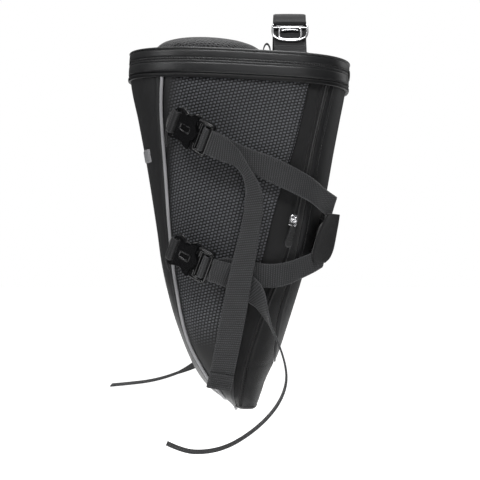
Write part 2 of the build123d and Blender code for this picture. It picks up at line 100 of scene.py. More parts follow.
class Shader:
    def __init__(self, name, owner=None):
        self.material = owner or bpy.data.materials.new(name)
        self.material.use_nodes = True
        self.tree = self.material.node_tree
        self.surface = self.tree.nodes.get("Principled BSDF")

    def node(self, kind, settings=None, inputs=None, output=0):
        made = self.tree.nodes.new(kind)
        for key, value in (settings or {}).items():
            if key == "stops":
                ramp = made.color_ramp
                while len(ramp.elements) < len(value):
                    ramp.elements.new(0.5)
                for element, (place, colour) in zip(ramp.elements, value):
                    element.position = place
                    element.color = (*colour, 1.0)
            else:
                setattr(made, key, value)
        for key, value in (inputs or {}).items():
            self.feed(made.inputs[key], value)
        return Wire(self, made.outputs[output])

    def feed(self, socket, value):
        if isinstance(value, Wire):
            self.tree.links.new(value.socket, socket)
        else:
            socket.default_value = value

    def sets(self, **values):
        names = {"colour": "Base Color", "roughness": "Roughness", "metallic": "Metallic", "normal": "Normal",
                 "coat": "Coat Weight", "coatRoughness": "Coat Roughness", "sheen": "Sheen Weight",
                 "sheenRoughness": "Sheen Roughness", "specular": "Specular IOR Level",
                 "glow": "Emission Strength", "glowColour": "Emission Color"}
        for key, value in values.items():
            if key in ("colour", "glowColour") and not isinstance(value, Wire):
                value = (*value, 1.0)
            self.feed(self.surface.inputs[names[key]], value)
        return self.material

    def place(self, kind="uv"):
        if kind == "uv":
            return self.node("ShaderNodeUVMap", {"uv_map": "cloth"})
        return self.node("ShaderNodeTexCoord", {}, {}, "Object")

    def split(self, vector):
        parts = self.node("ShaderNodeSeparateXYZ", {}, {0: vector}).socket.node
        return [Wire(self, parts.outputs[i]) for i in range(3)]

    def noise(self, vector, scale, detail=2.0, roughness=0.5):
        return self.node("ShaderNodeTexNoise", {}, {"Vector": vector, "Scale": scale, "Detail": detail,
                                                    "Roughness": roughness})

    def mix(self, factor, first, second):
        made = self.tree.nodes.new("ShaderNodeMix")
        made.data_type = "RGBA"
        colours = [(*value, 1.0) if isinstance(value, tuple) else value for value in (first, second)]
        self.feed(made.inputs["Factor"], factor)
        self.feed([s for s in made.inputs if s.name == "A" and s.type == "RGBA"][0], colours[0])
        self.feed([s for s in made.inputs if s.name == "B" and s.type == "RGBA"][0], colours[1])
        return Wire(self, [s for s in made.outputs if s.type == "RGBA"][0])

    def bump(self, height, distance, strength=1.0, under=None):
        inputs = {"Height": height, "Distance": distance, "Strength": strength}
        if under:
            inputs["Normal"] = under
        return self.node("ShaderNodeBump", {}, inputs)


def scaled(colour, share):
    return tuple(c * share for c in colour)


# Texture units: the "cloth" map holds millimetres across and along a piece, divided by 100

def wave(value, pitch):
    return value.does("MULTIPLY", 200 * math.pi / pitch).does("SINE") * 0.5 + 0.5


def vinyl(name, colour, roughness, grain=0.9, specular=0.5):
    s = Shader(name)
    spot = s.place("object")
    fine = s.noise(spot, 1000 / grain, 3.0, 0.6)
    broad = s.noise(spot, 9.0, 3.0)
    worn = s.noise(spot, 60.0, 4.0)
    tone = broad * 0.5 + worn * 0.5
    dark = scaled(colour, 0.86)
    light = scaled(colour, 1.14)
    return s.sets(colour=s.mix(tone, dark, light), roughness=worn * 0.12 + (roughness - 0.06),
                  specular=specular, normal=s.bump(fine, 0.00018, 0.6))


def carbonVinyl(name, colour):
    s = Shader(name)
    u, v, _ = s.split(s.place())
    spot = s.place("object")
    fade = s.node("ShaderNodeAttribute", {"attribute_name": "emboss"}, {}, "Fac")
    columns = (u + v * 0.14) * (100 / 3.5)
    rows = v * (100 / 3.3) + columns.does("FLOOR") * 0.25
    acrossCell = (columns.does("FRACT") - 0.5).does("ABSOLUTE")
    alongCell = (rows.does("FRACT") - 0.5).does("ABSOLUTE")
    acrossBlock = ((0.42 - acrossCell) * 6.0).does("MAXIMUM", 0.0).does("MINIMUM", 1.0)
    alongBlock = ((0.36 - alongCell) * 6.0).does("MAXIMUM", 0.0).does("MINIMUM", 1.0)
    patch = s.noise(spot, 14.0, 2.0) * 0.7 + 0.65
    raised = acrossBlock * alongBlock * fade
    tone = s.noise(spot, 26.0, 3.0)
    base = s.mix(tone, scaled(colour, 0.9), scaled(colour, 1.1))
    # Painted highlight: the raised tips are painted up to sixteen times lighter, patchy across the panel. The
    # relief itself comes from the bump
    tipsWithPaintedHighlight = s.mix(raised * patch, base, scaled(colour, 16.0))
    fine = s.noise(spot, 1400.0, 2.0)
    grain = s.bump(fine, 0.0001, 0.5)
    return s.sets(colour=tipsWithPaintedHighlight, roughness=0.46 - raised * 0.1, specular=0.35,
                  normal=s.bump(raised, 0.0006, 1.0, grain))


def webbing(name, colour, ribPitch=2.4, yarnPitch=2.0):
    s = Shader(name)
    u, v, _ = s.split(s.place())
    rows = wave(v, ribPitch)
    rowNumber = (v * (100 / ribPitch)).does("FLOOR")
    yarns = wave(u + rowNumber * (yarnPitch * 0.005), yarnPitch)
    weave = rows * yarns * 0.7 + rows * 0.3
    edge = s.node("ShaderNodeAttribute", {"attribute_name": "edge"}, {}, "Fac")
    spot = s.place("object")
    dust = s.noise(spot, 90.0, 4.0)
    shade = weave * 0.8 + dust * 0.2
    cloth = s.mix(shade, scaled(colour, 0.3), scaled(colour, 2.2))
    # Painted highlight: the edge band is painted twice as light along the webbing's edges
    cloth = s.mix(edge * 0.6, cloth, scaled(colour, 2.0))
    return s.sets(colour=cloth, roughness=0.72, specular=0.35, sheen=0.15, sheenRoughness=0.4,
                  normal=s.bump(weave, 0.00035, 0.9))


def wovenFabric(name, colour, pitch=0.8, depth=0.0002):
    s = Shader(name)
    u, v, _ = s.split(s.place())
    over = wave(u, pitch)
    under = wave(v, pitch)
    weave = over * under + (1.0 - over) * (1.0 - under)
    spot = s.place("object")
    slub = s.noise(spot, 120.0, 4.0)
    cloth = s.mix(weave * 0.5 + slub * 0.5, scaled(colour, 0.65), scaled(colour, 1.4))
    return s.sets(colour=cloth, roughness=0.8, specular=0.3, sheen=0.2, sheenRoughness=0.5,
                  normal=s.bump(weave * 0.7 + slub * 0.5, depth, 0.8))


def airMesh(name, colour):
    s = Shader(name)
    spot = s.place("object")
    x, y, z = s.split(spot)
    x, y = x + z * 0.4, y + z * 0.7
    pitch = 0.0042
    row = (y * (1 / (pitch * 0.87))).does("FLOOR")
    cellX = (x * (1 / pitch) + row * 0.5).does("FRACT") - 0.5
    cellY = (y * (1 / (pitch * 0.87))).does("FRACT") - 0.5
    spread = (cellX * cellX + cellY * cellY).does("SQRT")
    hole = 1.0 - ((spread - 0.26) * 9.0).does("MAXIMUM", 0.0).does("MINIMUM", 1.0)
    yarn = s.noise(spot, 1500.0, 2.0)
    lit = s.mix(yarn, scaled(colour, 0.8), scaled(colour, 1.5))
    # The hole pattern is real. Its near-black colour is painted shade inside the holes, which the bump only dents
    return s.sets(colour=s.mix(hole, lit, (0.0015, 0.0015, 0.0015)), roughness=0.75, specular=0.35, sheen=0.2,
                  normal=s.bump(1.0 - hole * 0.85 + yarn * 0.1, 0.0012, 1.0))


def plastic(name, colour, roughness=0.3, specular=0.5, coat=0.0):
    s = Shader(name)
    spot = s.place("object")
    scuff = s.noise(spot, 240.0, 5.0, 0.65)
    fine = s.noise(spot, 1900.0, 2.0)
    return s.sets(colour=s.mix(scuff, scaled(colour, 0.8), scaled(colour, 1.25)),
                  roughness=scuff * 0.16 + (roughness - 0.08), specular=specular, coat=coat, coatRoughness=0.07,
                  normal=s.bump(fine, 0.00005, 0.5))


def plated(name):
    s = Shader(name)
    spot = s.place("object")
    haze = s.noise(spot, 180.0, 4.0, 0.6)
    return s.sets(colour=s.mix(haze, (0.62, 0.62, 0.64), (0.80, 0.80, 0.81)), metallic=1.0,
                  roughness=haze * 0.10 + 0.08, normal=s.bump(haze, 0.00005, 0.3))


def reflectiveTape(name, colour):
    s = Shader(name)
    spot = s.place("object")
    beads = s.node("ShaderNodeTexVoronoi", {}, {"Vector": spot, "Scale": 1600.0}, "Distance")
    stain = s.noise(spot, 45.0, 4.0)
    return s.sets(colour=s.mix(stain, scaled(colour, 0.82), tuple(min(c * 1.12, 1.0) for c in colour)),
                  roughness=stain * 0.15 + 0.3, specular=0.6, normal=s.bump(beads, 0.0001, 0.5))


finish = {
    "cover": vinyl("coverVinyl", (0.017, 0.0172, 0.018), 0.42, 1.1),
    "base": vinyl("baseVinyl", (0.014, 0.0142, 0.015), 0.5, 0.9, 0.2),
    "lid": vinyl("lidVinyl", (0.012, 0.0122, 0.013), 0.4, 0.8),
    "binding": vinyl("bindingTape", (0.003, 0.003, 0.0035), 0.55, 0.5, 0.3),
    "carbon": carbonVinyl("carbonVinyl", (0.006, 0.0062, 0.0068)),
    "strap": webbing("strapWebbing", (0.026, 0.0265, 0.028)),
    "stub": webbing("stubWebbing", (0.014, 0.014, 0.015), 3.0, 2.2),
    "handle": webbing("handleWebbing", (0.014, 0.014, 0.015), 2.0, 1.8),
    "gusset": wovenFabric("gussetCloth", (0.005, 0.005, 0.0055), 0.9),
    "harness": wovenFabric("harnessCloth", (0.004, 0.004, 0.0045), 1.0, 0.0003),
    "lining": wovenFabric("liningCloth", (0.03, 0.03, 0.032), 0.5, 0.0001),
    "mesh": airMesh("airMesh", (0.024, 0.024, 0.026)),
    "buckle": plastic("buckleAcetal", (0.004, 0.004, 0.0045), 0.25, 0.25, 0.6),
    "coil": plastic("zipCoil", (0.004, 0.004, 0.0045), 0.42),
    "grip": plastic("pullGrip", (0.007, 0.007, 0.0075), 0.5),
    "board": plastic("stiffBoard", (0.02, 0.02, 0.021), 0.6),
    "thread": wovenFabric("stitchThread", (0.02, 0.02, 0.021), 0.4, 0.0001),
    "metal": plated("platedZinc"),
    "piping": reflectiveTape("reflectivePiping", (0.30, 0.30, 0.31)),
}
print("materials made")


# The bag's form, in millimetres, as the frame has it

body = {
    "stations": [(230, -186, 48, 93.5), (188, -181.3, 44.4, 92), (155, -174, 38.2, 91), (120, -167.4, 31.7, 89.5),
                 (80, -160.9, 24.5, 87), (40, -154.6, 15.7, 83.5), (0, -149, 4, 79), (-40, -139.3, -8, 73),
                 (-74, -128.1, -20, 66.5), (-100, -117.2, -31, 60), (-118, -106, -39.5, 53.5),
                 (-130, -93.8, -43.4, 47), (-139, -78.3, -46.5, 39), (-144, -73, -48.5, 34)],
    "roundCover": 2.5,
    "roundBase": 4.5,
    "roundDepth": 2.2,
    "seatSlope": 0.302,
    "rim": 195.0,
    "rimMiddle": -67.0,
    "rimTilt": 0.052,
}
seams = {
    "piping": [(-143, 225), (-146, 159), (-142.5, 101), (-138.5, 40), (-132.9, -12), (-120.8, -72), (-101, -110),
               (-83, -134), (-78, -152)],
    "panel": [(10, 225), (-9.9, 132), (-28.9, 70), (-44.4, 11), (-60.9, -42), (-71.5, -92), (-73.5, -125),
              (-71, -152)],
    "zip": [(26, 225), (4.7, 132), (-8.2, 70), (-22.6, 11), (-42.7, -42), (-58.9, -92), (-65, -125), (-68, -152)],
    "base": [(34, 225), (11.2, 132), (1, 70), (-10.2, 11), (-26, -42), (-30, -71), (-30.5, -100), (-25, -125)],
}


def smoothed(rows, at):
    at = min(max(at, rows[-1][0]), rows[0][0])
    for i in range(len(rows) - 1):
        upper, lower = rows[i], rows[i + 1]
        if at >= lower[0]:
            before, after = rows[max(i - 1, 0)], rows[min(i + 2, len(rows) - 1)]
            span = lower[0] - upper[0]
            t = (at - upper[0]) / span
            values = []
            for k in range(1, len(upper)):
                slopeA = (lower[k] - before[k]) / (lower[0] - before[0]) * span
                slopeB = (after[k] - upper[k]) / (after[0] - upper[0]) * span
                start = (2 * t**3 - 3 * t**2 + 1) * upper[k] + (t**3 - 2 * t**2 + t) * slopeA
                values.append(start + (3 * t**2 - 2 * t**3) * lower[k] + (t**3 - t**2) * slopeB)
            return values


def seamX(name, z):
    return smoothed([(height, x) for x, height in seams[name]], z)[0]


@functools.lru_cache(maxsize=None)
def stationAt(z):
    return smoothed(body["stations"], z)


# Plan point of the body at height z. Angle 0 is the base side, -pi/2 the near side and -pi the cover
def outlinePoint(z, angle, lift=0.0):
    left, right, halfDepth = stationAt(round(z, 3))
    center = (left + right) / 2
    cosine, sine = math.cos(angle), math.sin(angle)
    power = body["roundBase"] if cosine > 0 else body["roundCover"]
    reach = (right - center if cosine > 0 else center - left) + lift
    x = center + reach * math.copysign(abs(cosine) ** (2 / power), cosine)
    y = (halfDepth + lift) * math.copysign(abs(sine) ** (2 / body["roundDepth"]), sine)
    return x, y


def angleAt(z, x):
    left, right, _ = stationAt(round(z, 3))
    center = (left + right) / 2
    if x > center:
        share = min((x - center) / (right - center), 1.0)
        return -math.acos(share ** (body["roundBase"] / 2))
    share = min((center - x) / (center - left), 1.0)
    return -math.pi + math.acos(share ** (body["roundCover"] / 2))


rimScale = math.hypot(1, body["rimTilt"])


def onRim(x, y, height):
    t = body["rimTilt"] / rimScale
    along = (x - body["rimMiddle"]) / rimScale
    return Vector((body["rimMiddle"] + along + height * t, y,
                   body["rim"] - along * body["rimTilt"] + height / rimScale))


# Mesh helpers

def makeMesh(name, points, faces, material, uvs=None, smooth=True, away=None):
    if away is not None:  # turn the faces so that they look away from this point
        a, b, c = [Vector(points[i]) for i in faces[len(faces) // 2][:3]]
        if (b - a).cross(c - b).dot(a - Vector(away)) < 0:
            faces = [face[::-1] for face in faces]
    data = bpy.data.meshes.new(name)
    data.from_pydata([tuple(c * mm for c in p) for p in points], [], faces)
    data.update()
    if uvs:
        layer = data.uv_layers.new(name="cloth")
        for loop in data.loops:
            layer.data[loop.index].uv = uvs[loop.vertex_index]
    piece = bpy.data.objects.new(name, data)
    show(piece)
    data.materials.append(material)
    if smooth:
        data.polygons.foreach_set("use_smooth", [True] * len(data.polygons))
    return piece


def gridFaces(rows, columns, closed=False, offset=0):
    faces = []
    for i in range(rows - 1):
        for j in range(columns if closed else columns - 1):
            k = (j + 1) % columns
            quad = [offset + i * columns + j, offset + i * columns + k, offset + (i + 1) * columns + k,
                    offset + (i + 1) * columns + j]
            faces.append(quad)
    return faces


def gridUvs(grid):
    uvs = []
    down = 0.0
    for i, row in enumerate(grid):
        if i:
            middle = len(row) // 2
            down += (Vector(row[middle]) - Vector(grid[i - 1][middle])).length
        across = [0.0]
        for a, b in zip(row, row[1:]):
            across.append(across[-1] + (Vector(b) - Vector(a)).length)
        centre = across[-1] / 2
        uvs += [((value - centre) / 100, down / 100) for value in across]
    return uvs


def thicken(piece, thickness, inward=-1.0):
    solid = piece.modifiers.new("thickness", "SOLIDIFY")
    solid.thickness = thickness * mm
    solid.offset = inward
    return piece


def applyModifiers(piece):
    graph = bpy.context.evaluated_depsgraph_get()
    made = bpy.data.meshes.new_from_object(piece.evaluated_get(graph))
    piece.modifiers.clear()
    piece.data = made
    return piece


def around(count):
    return [2 * math.pi * k / count for k in range(count)]


def smoothPath(points, steps):
    line = []
    for i in range(len(points) - 1):
        a, b = points[i], points[i + 1]
        before = points[i - 1] if i else a * 2 - b
        after = points[i + 2] if i + 2 < len(points) else b * 2 - a
        for k in range(steps):
            t = k / steps
            line.append(0.5 * ((2 * a) + (b - before) * t + (2 * before - 5 * a + 4 * b - after) * t * t
                               + (3 * a - before - 3 * b + after) * t**3))
    line.append(points[-1].copy())
    return line


def tube(name, line, radius, material, sides=10, flat=1.0, closed=False):
    points, uvs = [], []
    up = Vector((0.13, 0.2, 0.97)).normalized()
    run = 0.0
    count = len(line)
    for i, spot in enumerate(line):
        ahead = line[(i + 1) % count] if closed or i + 1 < count else spot
        behind = line[i - 1] if closed or i else spot
        along = (ahead - behind).normalized()
        side = along.cross(up)
        if side.length < 0.05:
            side = along.cross(Vector((1, 0, 0)))
        side.normalize()
        up = side.cross(along).normalized()
        if i:
            run += (spot - line[i - 1]).length
        for k in range(sides):
            angle = 2 * math.pi * k / sides
            points.append(spot + side * (math.cos(angle) * radius) + up * (math.sin(angle) * radius * flat))
            uvs.append((angle * radius / 100, run / 100))
    faces = gridFaces(count, sides, True)
    if closed:
        last = (count - 1) * sides
        faces += [[last + k, last + (k + 1) % sides, (k + 1) % sides, k] for k in range(sides)]
    else:
        faces.append(list(range(sides))[::-1])
        faces.append([(count - 1) * sides + k for k in range(sides)])
    return makeMesh(name, points, [f[::-1] for f in faces], material, uvs)


def ribbon(name, edges, thickness, material, columns=10, steps=8, roll=0.0):
    left = smoothPath([Vector(a) for a, _ in edges], steps)
    right = smoothPath([Vector(b) for _, b in edges], steps)
    points, uvs, edgeHighlightMask = [], [], []
    ring = []
    for k in range(columns + 1):
        ring.append((k / columns, 1))
    for k in range(columns, -1, -1):
        ring.append((k / columns, -1))
    run = 0.0
    before = None
    for i, (a, b) in enumerate(zip(left, right)):
        centre = (a + b) / 2
        j, k = max(i - 1, 0), min(i + 1, len(left) - 1)
        along = ((left[k] + right[k]) - (left[j] + right[j])).normalized()
        across = b - a
        width = across.length
        face = along.cross(across).normalized()
        if before is not None:
            run += (centre - before).length
        before = centre
        for share, side in ring:
            fromEdge = min(share, 1 - share) * width
            half = thickness / 2 * min(1.0, 0.35 + fromEdge / 1.1)
            cup = roll * (4 * (share - 0.5) ** 2 - 0.33)
            points.append(a + across * share + face * (side * half + cup))
            uvs.append(((share - 0.5) * width / 100, run / 100))
            # Band along each edge, which the webbing shader paints with a highlight
            edgeHighlightMask.append(1.0 if fromEdge < 1.2 else 0.0)
    count = len(ring)
    faces = [f[::-1] for f in gridFaces(len(left), count, True)]
    faces.append(list(range(count)))
    faces.append([(len(left) - 1) * count + k for k in range(count)][::-1])
    piece = makeMesh(name, points, faces, material, uvs)
    paint(piece, "edge", edgeHighlightMask)
    return piece


def paint(piece, name, values):
    mask = piece.data.attributes.new(name, "FLOAT", "POINT")
    mask.data.foreach_set("value", values)


def plate(name, loops, low, high, bevel, material, placing, segments=3):
    curve = bpy.data.curves.new(name, "CURVE")
    curve.dimensions = "2D"
    curve.fill_mode = "BOTH"
    curve.extrude = ((high - low) / 2 - bevel) * mm
    curve.bevel_depth = bevel * mm
    curve.bevel_resolution = segments
    curve.offset = -bevel * mm
    for loop in loops:
        spline = curve.splines.new("POLY")
        spline.points.add(len(loop) - 1)
        for point, (x, y) in zip(spline.points, loop):
            point.co = (x * mm, y * mm, 0, 1)
        spline.use_cyclic_u = True
    shape = bpy.data.objects.new(name, curve)
    show(shape)
    graph = bpy.context.evaluated_depsgraph_get()
    data = bpy.data.meshes.new_from_object(shape.evaluated_get(graph))
    bpy.data.objects.remove(shape)
    piece = bpy.data.objects.new(name, data)
    show(piece)
    data.materials.clear()
    data.materials.append(material)
    for vertex in data.vertices:
        x, y, z = vertex.co / mm
        vertex.co = placing(Vector((x, y, z + (high + low) / 2))) * mm
    data.polygons.foreach_set("use_smooth", [True] * len(data.polygons))
    data.set_sharp_from_angle(angle=math.radians(38))
    return piece


def roundedLoop(corners, radius, steps=5):
    loop = []
    count = len(corners)
    for i in range(count):
        corner = Vector(corners[i][:2])
        size = corners[i][2] if len(corners[i]) > 2 else radius
        before = Vector(corners[i - 1][:2]) - corner
        after = Vector(corners[(i + 1) % count][:2]) - corner
        cut = min(size, before.length * 0.49, after.length * 0.49)
        start = corner + before.normalized() * cut
        end = corner + after.normalized() * cut
        for k in range(steps + 1):
            t = k / steps
            spot = start * (1 - t) ** 2 + corner * (2 * t * (1 - t)) + end * t * t
            loop.append((spot.x, spot.y))
    return loop


def roundedBox(left, low, right, high, radius, steps):
    return roundedLoop([(left, low), (right, low), (right, high), (left, high)], radius, steps)


def joined(name, pieces):
    first = pieces[0]
    with bpy.context.temp_override(active_object=first, selected_editable_objects=pieces, object=first,
                                   selected_objects=pieces):
        bpy.ops.object.join()
    first.name = name
    return first


def settle(piece, bodyName, slot, *nodes):
    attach(piece, bodyName)
    if nodes:
        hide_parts(*nodes)
    return piece


print("helpers ready")

# Camera and light

camera = bpy.data.objects.new("camera", bpy.data.cameras.new("camera"))
show(camera)
bpy.context.scene.camera = camera
cameraSet = {"distance": 1500.0, "side": -67.0, "height": 30.0, "lens": 105.9}
camera.location = (cameraSet["side"] * mm, -cameraSet["distance"] * mm, cameraSet["height"] * mm)
camera.rotation_euler = (math.radians(90), 0, 0)
camera.data.lens = cameraSet["lens"]
camera.data.sensor_width = 36.0
camera.data.clip_end = 50.0

world = bpy.data.worlds.new("studio")
bpy.context.scene.world = world
sky = Shader("studio", world)
upward = sky.split(sky.node("ShaderNodeTexCoord", {}, {}, "Generated"))[2]
skyTone = sky.node("ShaderNodeValToRGB", {"stops": [(0.0, (0.10, 0.10, 0.10)), (0.42, (0.05, 0.05, 0.05)),
                                                 (0.52, (0.07, 0.07, 0.07)), (0.7, (0.20, 0.20, 0.20)),
                                                 (1.0, (0.6, 0.6, 0.6))]}, {0: upward * 0.5 + 0.5})
seen = sky.node("ShaderNodeLightPath", {}, {}, "Is Camera Ray")
sky.feed(world.node_tree.nodes["Background"].inputs["Color"], sky.mix(seen, skyTone, (1.0, 1.0, 1.0)))


def softBox(name, spot, target, size, power):
    lamp = bpy.data.lights.new(name, "AREA")
    lamp.shape = "RECTANGLE"
    lamp.size, lamp.size_y = size
    lamp.energy = power
    holder = bpy.data.objects.new(name, lamp)
    show(holder)
    holder.location = spot
    holder.rotation_euler = (Vector(target) - Vector(spot)).to_track_quat("-Z", "Y").to_euler()


bpy.context.scene.view_settings.view_transform = "Standard"
middle = (-0.067, 0.0, 0.03)
softBox("keyLight", (-0.15, -1.0, 1.15), middle, (1.0, 0.28), 15)
softBox("sideLight", (-1.25, -0.55, 0.6), middle, (0.25, 0.7), 4.0)
softBox("frontLight", (0.35, -1.7, 0.25), middle, (0.7, 0.9), 2.6)
softBox("topLight", (0.1, 0.35, 1.2), middle, (1.0, 0.6), 9)
softBox("backLight", (1.1, 1.1, 0.5), middle, (0.5, 1.0), 1.6)

floorShader = Shader("paleFloor")
floorShade = floorShader.noise(floorShader.place("object"), 3.0, 2.0)
floorShader.sets(colour=floorShader.mix(floorShade, (0.88, 0.88, 0.88), (0.92, 0.92, 0.92)), roughness=0.9,
                 glowColour=(1.0, 1.0, 1.0), glow=0.8)
floor = makeMesh("floor", [(-420, -900, -330), (420, -900, -330), (2100, 9000, -330), (-2100, 9000, -330)],
                 [(0, 1, 2, 3)], floorShader.material, smooth=False)
print("camera and lights set")

# The shell's skins

shell = {"rows": 2.5, "top": 195.0, "bottom": -144.0, "sag": 0.5}


# Point of the body's surface: rows tilt with the rim at the top, and the seat plane cuts the base side flat
def bodyPoint(z, angle, lift=0.0):
    x, y = outlinePoint(z, angle)
    fade = min(max((z - 90) / (shell["top"] - 90), 0.0), 1.0)
    fade = fade * fade * (3 - 2 * fade)
    height = z - fade * (1.0 + body["rimTilt"] * (x - body["rimMiddle"]))
    x, y = outlinePoint(height, angle, lift)
    return Vector((min(x, body["seatSlope"] * height + lift), y, height))


def seamPoint(name, z, lift=0.0):
    return bodyPoint(z, angleAt(z, seamX(name, z)), lift)


def seamAngle(name, z):
    return angleAt(z, seamX(name, z))


# Angles at equal steps along the outline, each with its distance from the start
def evenAngles(z, first, last, count):
    if abs(last - first) < 1e-4:
        return [(first, 0.0)] * (count + 1), 0.0
    samples = {first + (last - first) * k / 48 for k in range(49)}
    if -math.pi <= first < last <= 0.0:
        startX, endX = outlinePoint(z, first)[0], outlinePoint(z, last)[0]
        for k in range(1, 48):
            angle = angleAt(z, startX + (endX - startX) * k / 48)
            if min(first, last) < angle < max(first, last):
                samples.add(angle)
    ordered = sorted(samples, reverse=first > last)
    places = [outlinePoint(z, a) for a in ordered]
    runs = [0.0]
    for a, b in zip(places, places[1:]):
        runs.append(runs[-1] + math.dist(a, b))
    found, k = [], 0
    for j in range(count + 1):
        goal = runs[-1] * j / count
        while k < len(runs) - 2 and runs[k + 1] < goal:
            k += 1
        part = (goal - runs[k]) / max(runs[k + 1] - runs[k], 1e-9)
        found.append((ordered[k] + (ordered[k + 1] - ordered[k]) * part, goal))
    return found, runs[-1]


def bulge(distance, at, width):
    return math.exp(-((distance - at) / width) ** 2)


def soften(x, y, z, scale, seed=0.0):
    return noise.noise(Vector((x / scale + seed, y / scale, z / scale)))


def skinGrid(first, last, columns, lift, bottom=None, side=1):
    low = shell["bottom"] if bottom is None else bottom
    steps = round((shell["top"] - low) / shell["rows"])
    grid = []
    for i in range(steps + 1):
        z = shell["top"] + (low - shell["top"]) * i / steps
        angles, total = evenAngles(z, first(z), last(z), columns)
        row = []
        for angle, run in angles:
            spot = bodyPoint(z, angle)
            spot = bodyPoint(z, angle, lift(run, total - run, spot))
            row.append(Vector((spot.x, spot.y * side, spot.z)))
        grid.append(row)
    return grid


def skin(name, grid, material, mask=None):
    points = [p for row in grid for p in row]
    piece = makeMesh(name, points, gridFaces(len(grid), len(grid[0])), material, gridUvs(grid),
                     away=(-67, 0, grid[len(grid) // 2][0].z))
    if mask:
        paint(piece, "emboss", [mask(p) for p in points])
    return piece


def bothSides(name, make):
    return joined(name, [make(name + "Near", 1), make(name + "Far", -1)])


def coverLift(before, after, spot):
    edge = min(before, after)
    slack = shell["sag"] * soften(*spot, 55.0)
    roll = 1.5 * bulge(edge, 5.6, 2.3) * (0.8 + 0.35 * soften(*spot, 30.0, 4.0))
    return roll + slack * min(edge / 20, 1.0) - 1.9 * bulge(edge, 0.0, 1.6) + 0.3


def panelLift(before, after, spot):
    slack = 0.9 * soften(*spot, 42.0, 2.0) * min(before / 15, after / 15, 1.0)
    return slack - 1.5 * bulge(before, 0.0, 1.7) + 0.9 * bulge(after, 2.6, 1.9) - 1.0 * bulge(after, 0.0, 0.9)


def upperTapeLift(before, after, spot):
    pucker = 0.3 * soften(spot.x, spot.y, spot.z, 7.0, 3.0)
    seam = 1.5 * bulge(after, 1.7, 1.5) - 1.4 * bulge(after, 0.0, 0.8)
    return -1.3 + pucker + seam - 0.8 * bulge(before, 0.0, 1.0)


def lowerTapeLift(before, after, spot):
    pucker = 0.3 * soften(spot.x, spot.y, spot.z, 8.0, 5.0)
    seam = 1.5 * bulge(before, 1.9, 1.6) - 1.6 * bulge(before, 0.0, 0.8)
    return -0.9 + pucker + seam - 0.7 * bulge(after, 0.0, 1.0)


def baseLift(before, after, spot):
    edge = min(before, after)
    return 1.0 * bulge(edge, 2.4, 1.9) - 1.2 * bulge(edge, 0.0, 1.1) + 0.35 * soften(*spot, 50.0, 7.0)


coverSkin = skin("coverPanel", skinGrid(lambda z: seamAngle("piping", z),
                                        lambda z: -2 * math.pi - seamAngle("piping", z), 96, coverLift),
                 finish["cover"])
settle(coverSkin, "root", "cover_vinyl", "cover_panel")


# How far the embossed pattern shows: it is pressed out towards the bottom and beside the piping's top. The same
# mask sets where the raised tips carry their painted highlight
def embossMask(spot):
    low = min(max((spot.z + 80) / 30, 0.0), 1.0)
    fromPiping = spot.x - seamX("piping", spot.z)
    reach = 4 + max(spot.z - 60, 0) * 0.10
    return low * min(max((fromPiping - reach * 0.35) / (reach * 0.9), 0.0), 1.0)


for side, word in ((1, "near"), (-1, "far")):
    panel = skin("sidePanel_" + word,
                 skinGrid(lambda z: seamAngle("piping", z), lambda z: seamAngle("panel", z), 72, panelLift,
                          side=side),
                 finish["carbon"], embossMask)
    settle(panel, "root", "carbon_vinyl", "side_panel_" + word)

upperTape = bothSides("gussetUpperTape", lambda name, side: skin(
    name, skinGrid(lambda z: seamAngle("panel", z), lambda z: seamAngle("zip", z), 20, upperTapeLift, side=side),
    finish["gusset"]))
settle(upperTape, "root", "gusset_fabric", "gusset_upper_tape")
lowerTape = bothSides("gussetLowerTape", lambda name, side: skin(
    name, skinGrid(lambda z: seamAngle("zip", z), lambda z: seamAngle("base", z), 20, lowerTapeLift, side=side),
    finish["gusset"]))
settle(lowerTape, "root", "gusset_fabric", "gusset_lower_tape")
baseSkin = skin("basePanel", skinGrid(lambda z: seamAngle("base", z), lambda z: -seamAngle("base", z), 64, baseLift,
                                      bottom=-98.0), finish["base"])
settle(baseSkin, "root", "base_vinyl", "base_panel")


# The bottom's rounded end
capRings = []
for share, drop in ((1.0, 0.0), (0.93, 1.4), (0.8, 2.6), (0.55, 3.3), (0.25, 3.5), (0.02, 3.5)):
    ring = []
    for k in range(72):
        spot = bodyPoint(-144.0, -2 * math.pi * k / 72, -0.4)
        ring.append(Vector((-61 + (spot.x + 61) * share, spot.y * share, -144.0 - drop)))
    capRings.append(ring)
cap = makeMesh("bottomCap", [p for ring in capRings for p in ring], gridFaces(len(capRings), 72, True),
               finish["gusset"], [(p.x / 100, p.y / 100) for ring in capRings for p in ring], away=(-61, 0, -100))
settle(cap, "root", "gusset_fabric")
print("skins made")

# Piping along the side panels and round the bottom

piping = {"radius": 1.75, "stand": 0.75}


def seamLine(name, side, lift, low=-144.0, step=3.0, top=195.0):
    count = round((top - low) / step)
    line = []
    for i in range(count + 1):
        spot = seamPoint(name, top + (low - top) * i / count, lift)
        line.append(Vector((spot.x, spot.y * side, spot.z)))
    return line


nearLine = seamLine("piping", 1, piping["stand"])
farLine = seamLine("piping", -1, piping["stand"])
under = [Vector((nearLine[-1].x + 2.5, nearLine[-1].y * share, -146.6 - 2.2 * (1 - share**2))) for share in
         (0.9, 0.7, 0.4, 0.0, -0.4, -0.7, -0.9)]
pipingCord = tube("reflectivePiping", nearLine + under + farLine[::-1], piping["radius"], finish["piping"], 12)
settle(pipingCord, "root", "reflective", "reflective_piping")


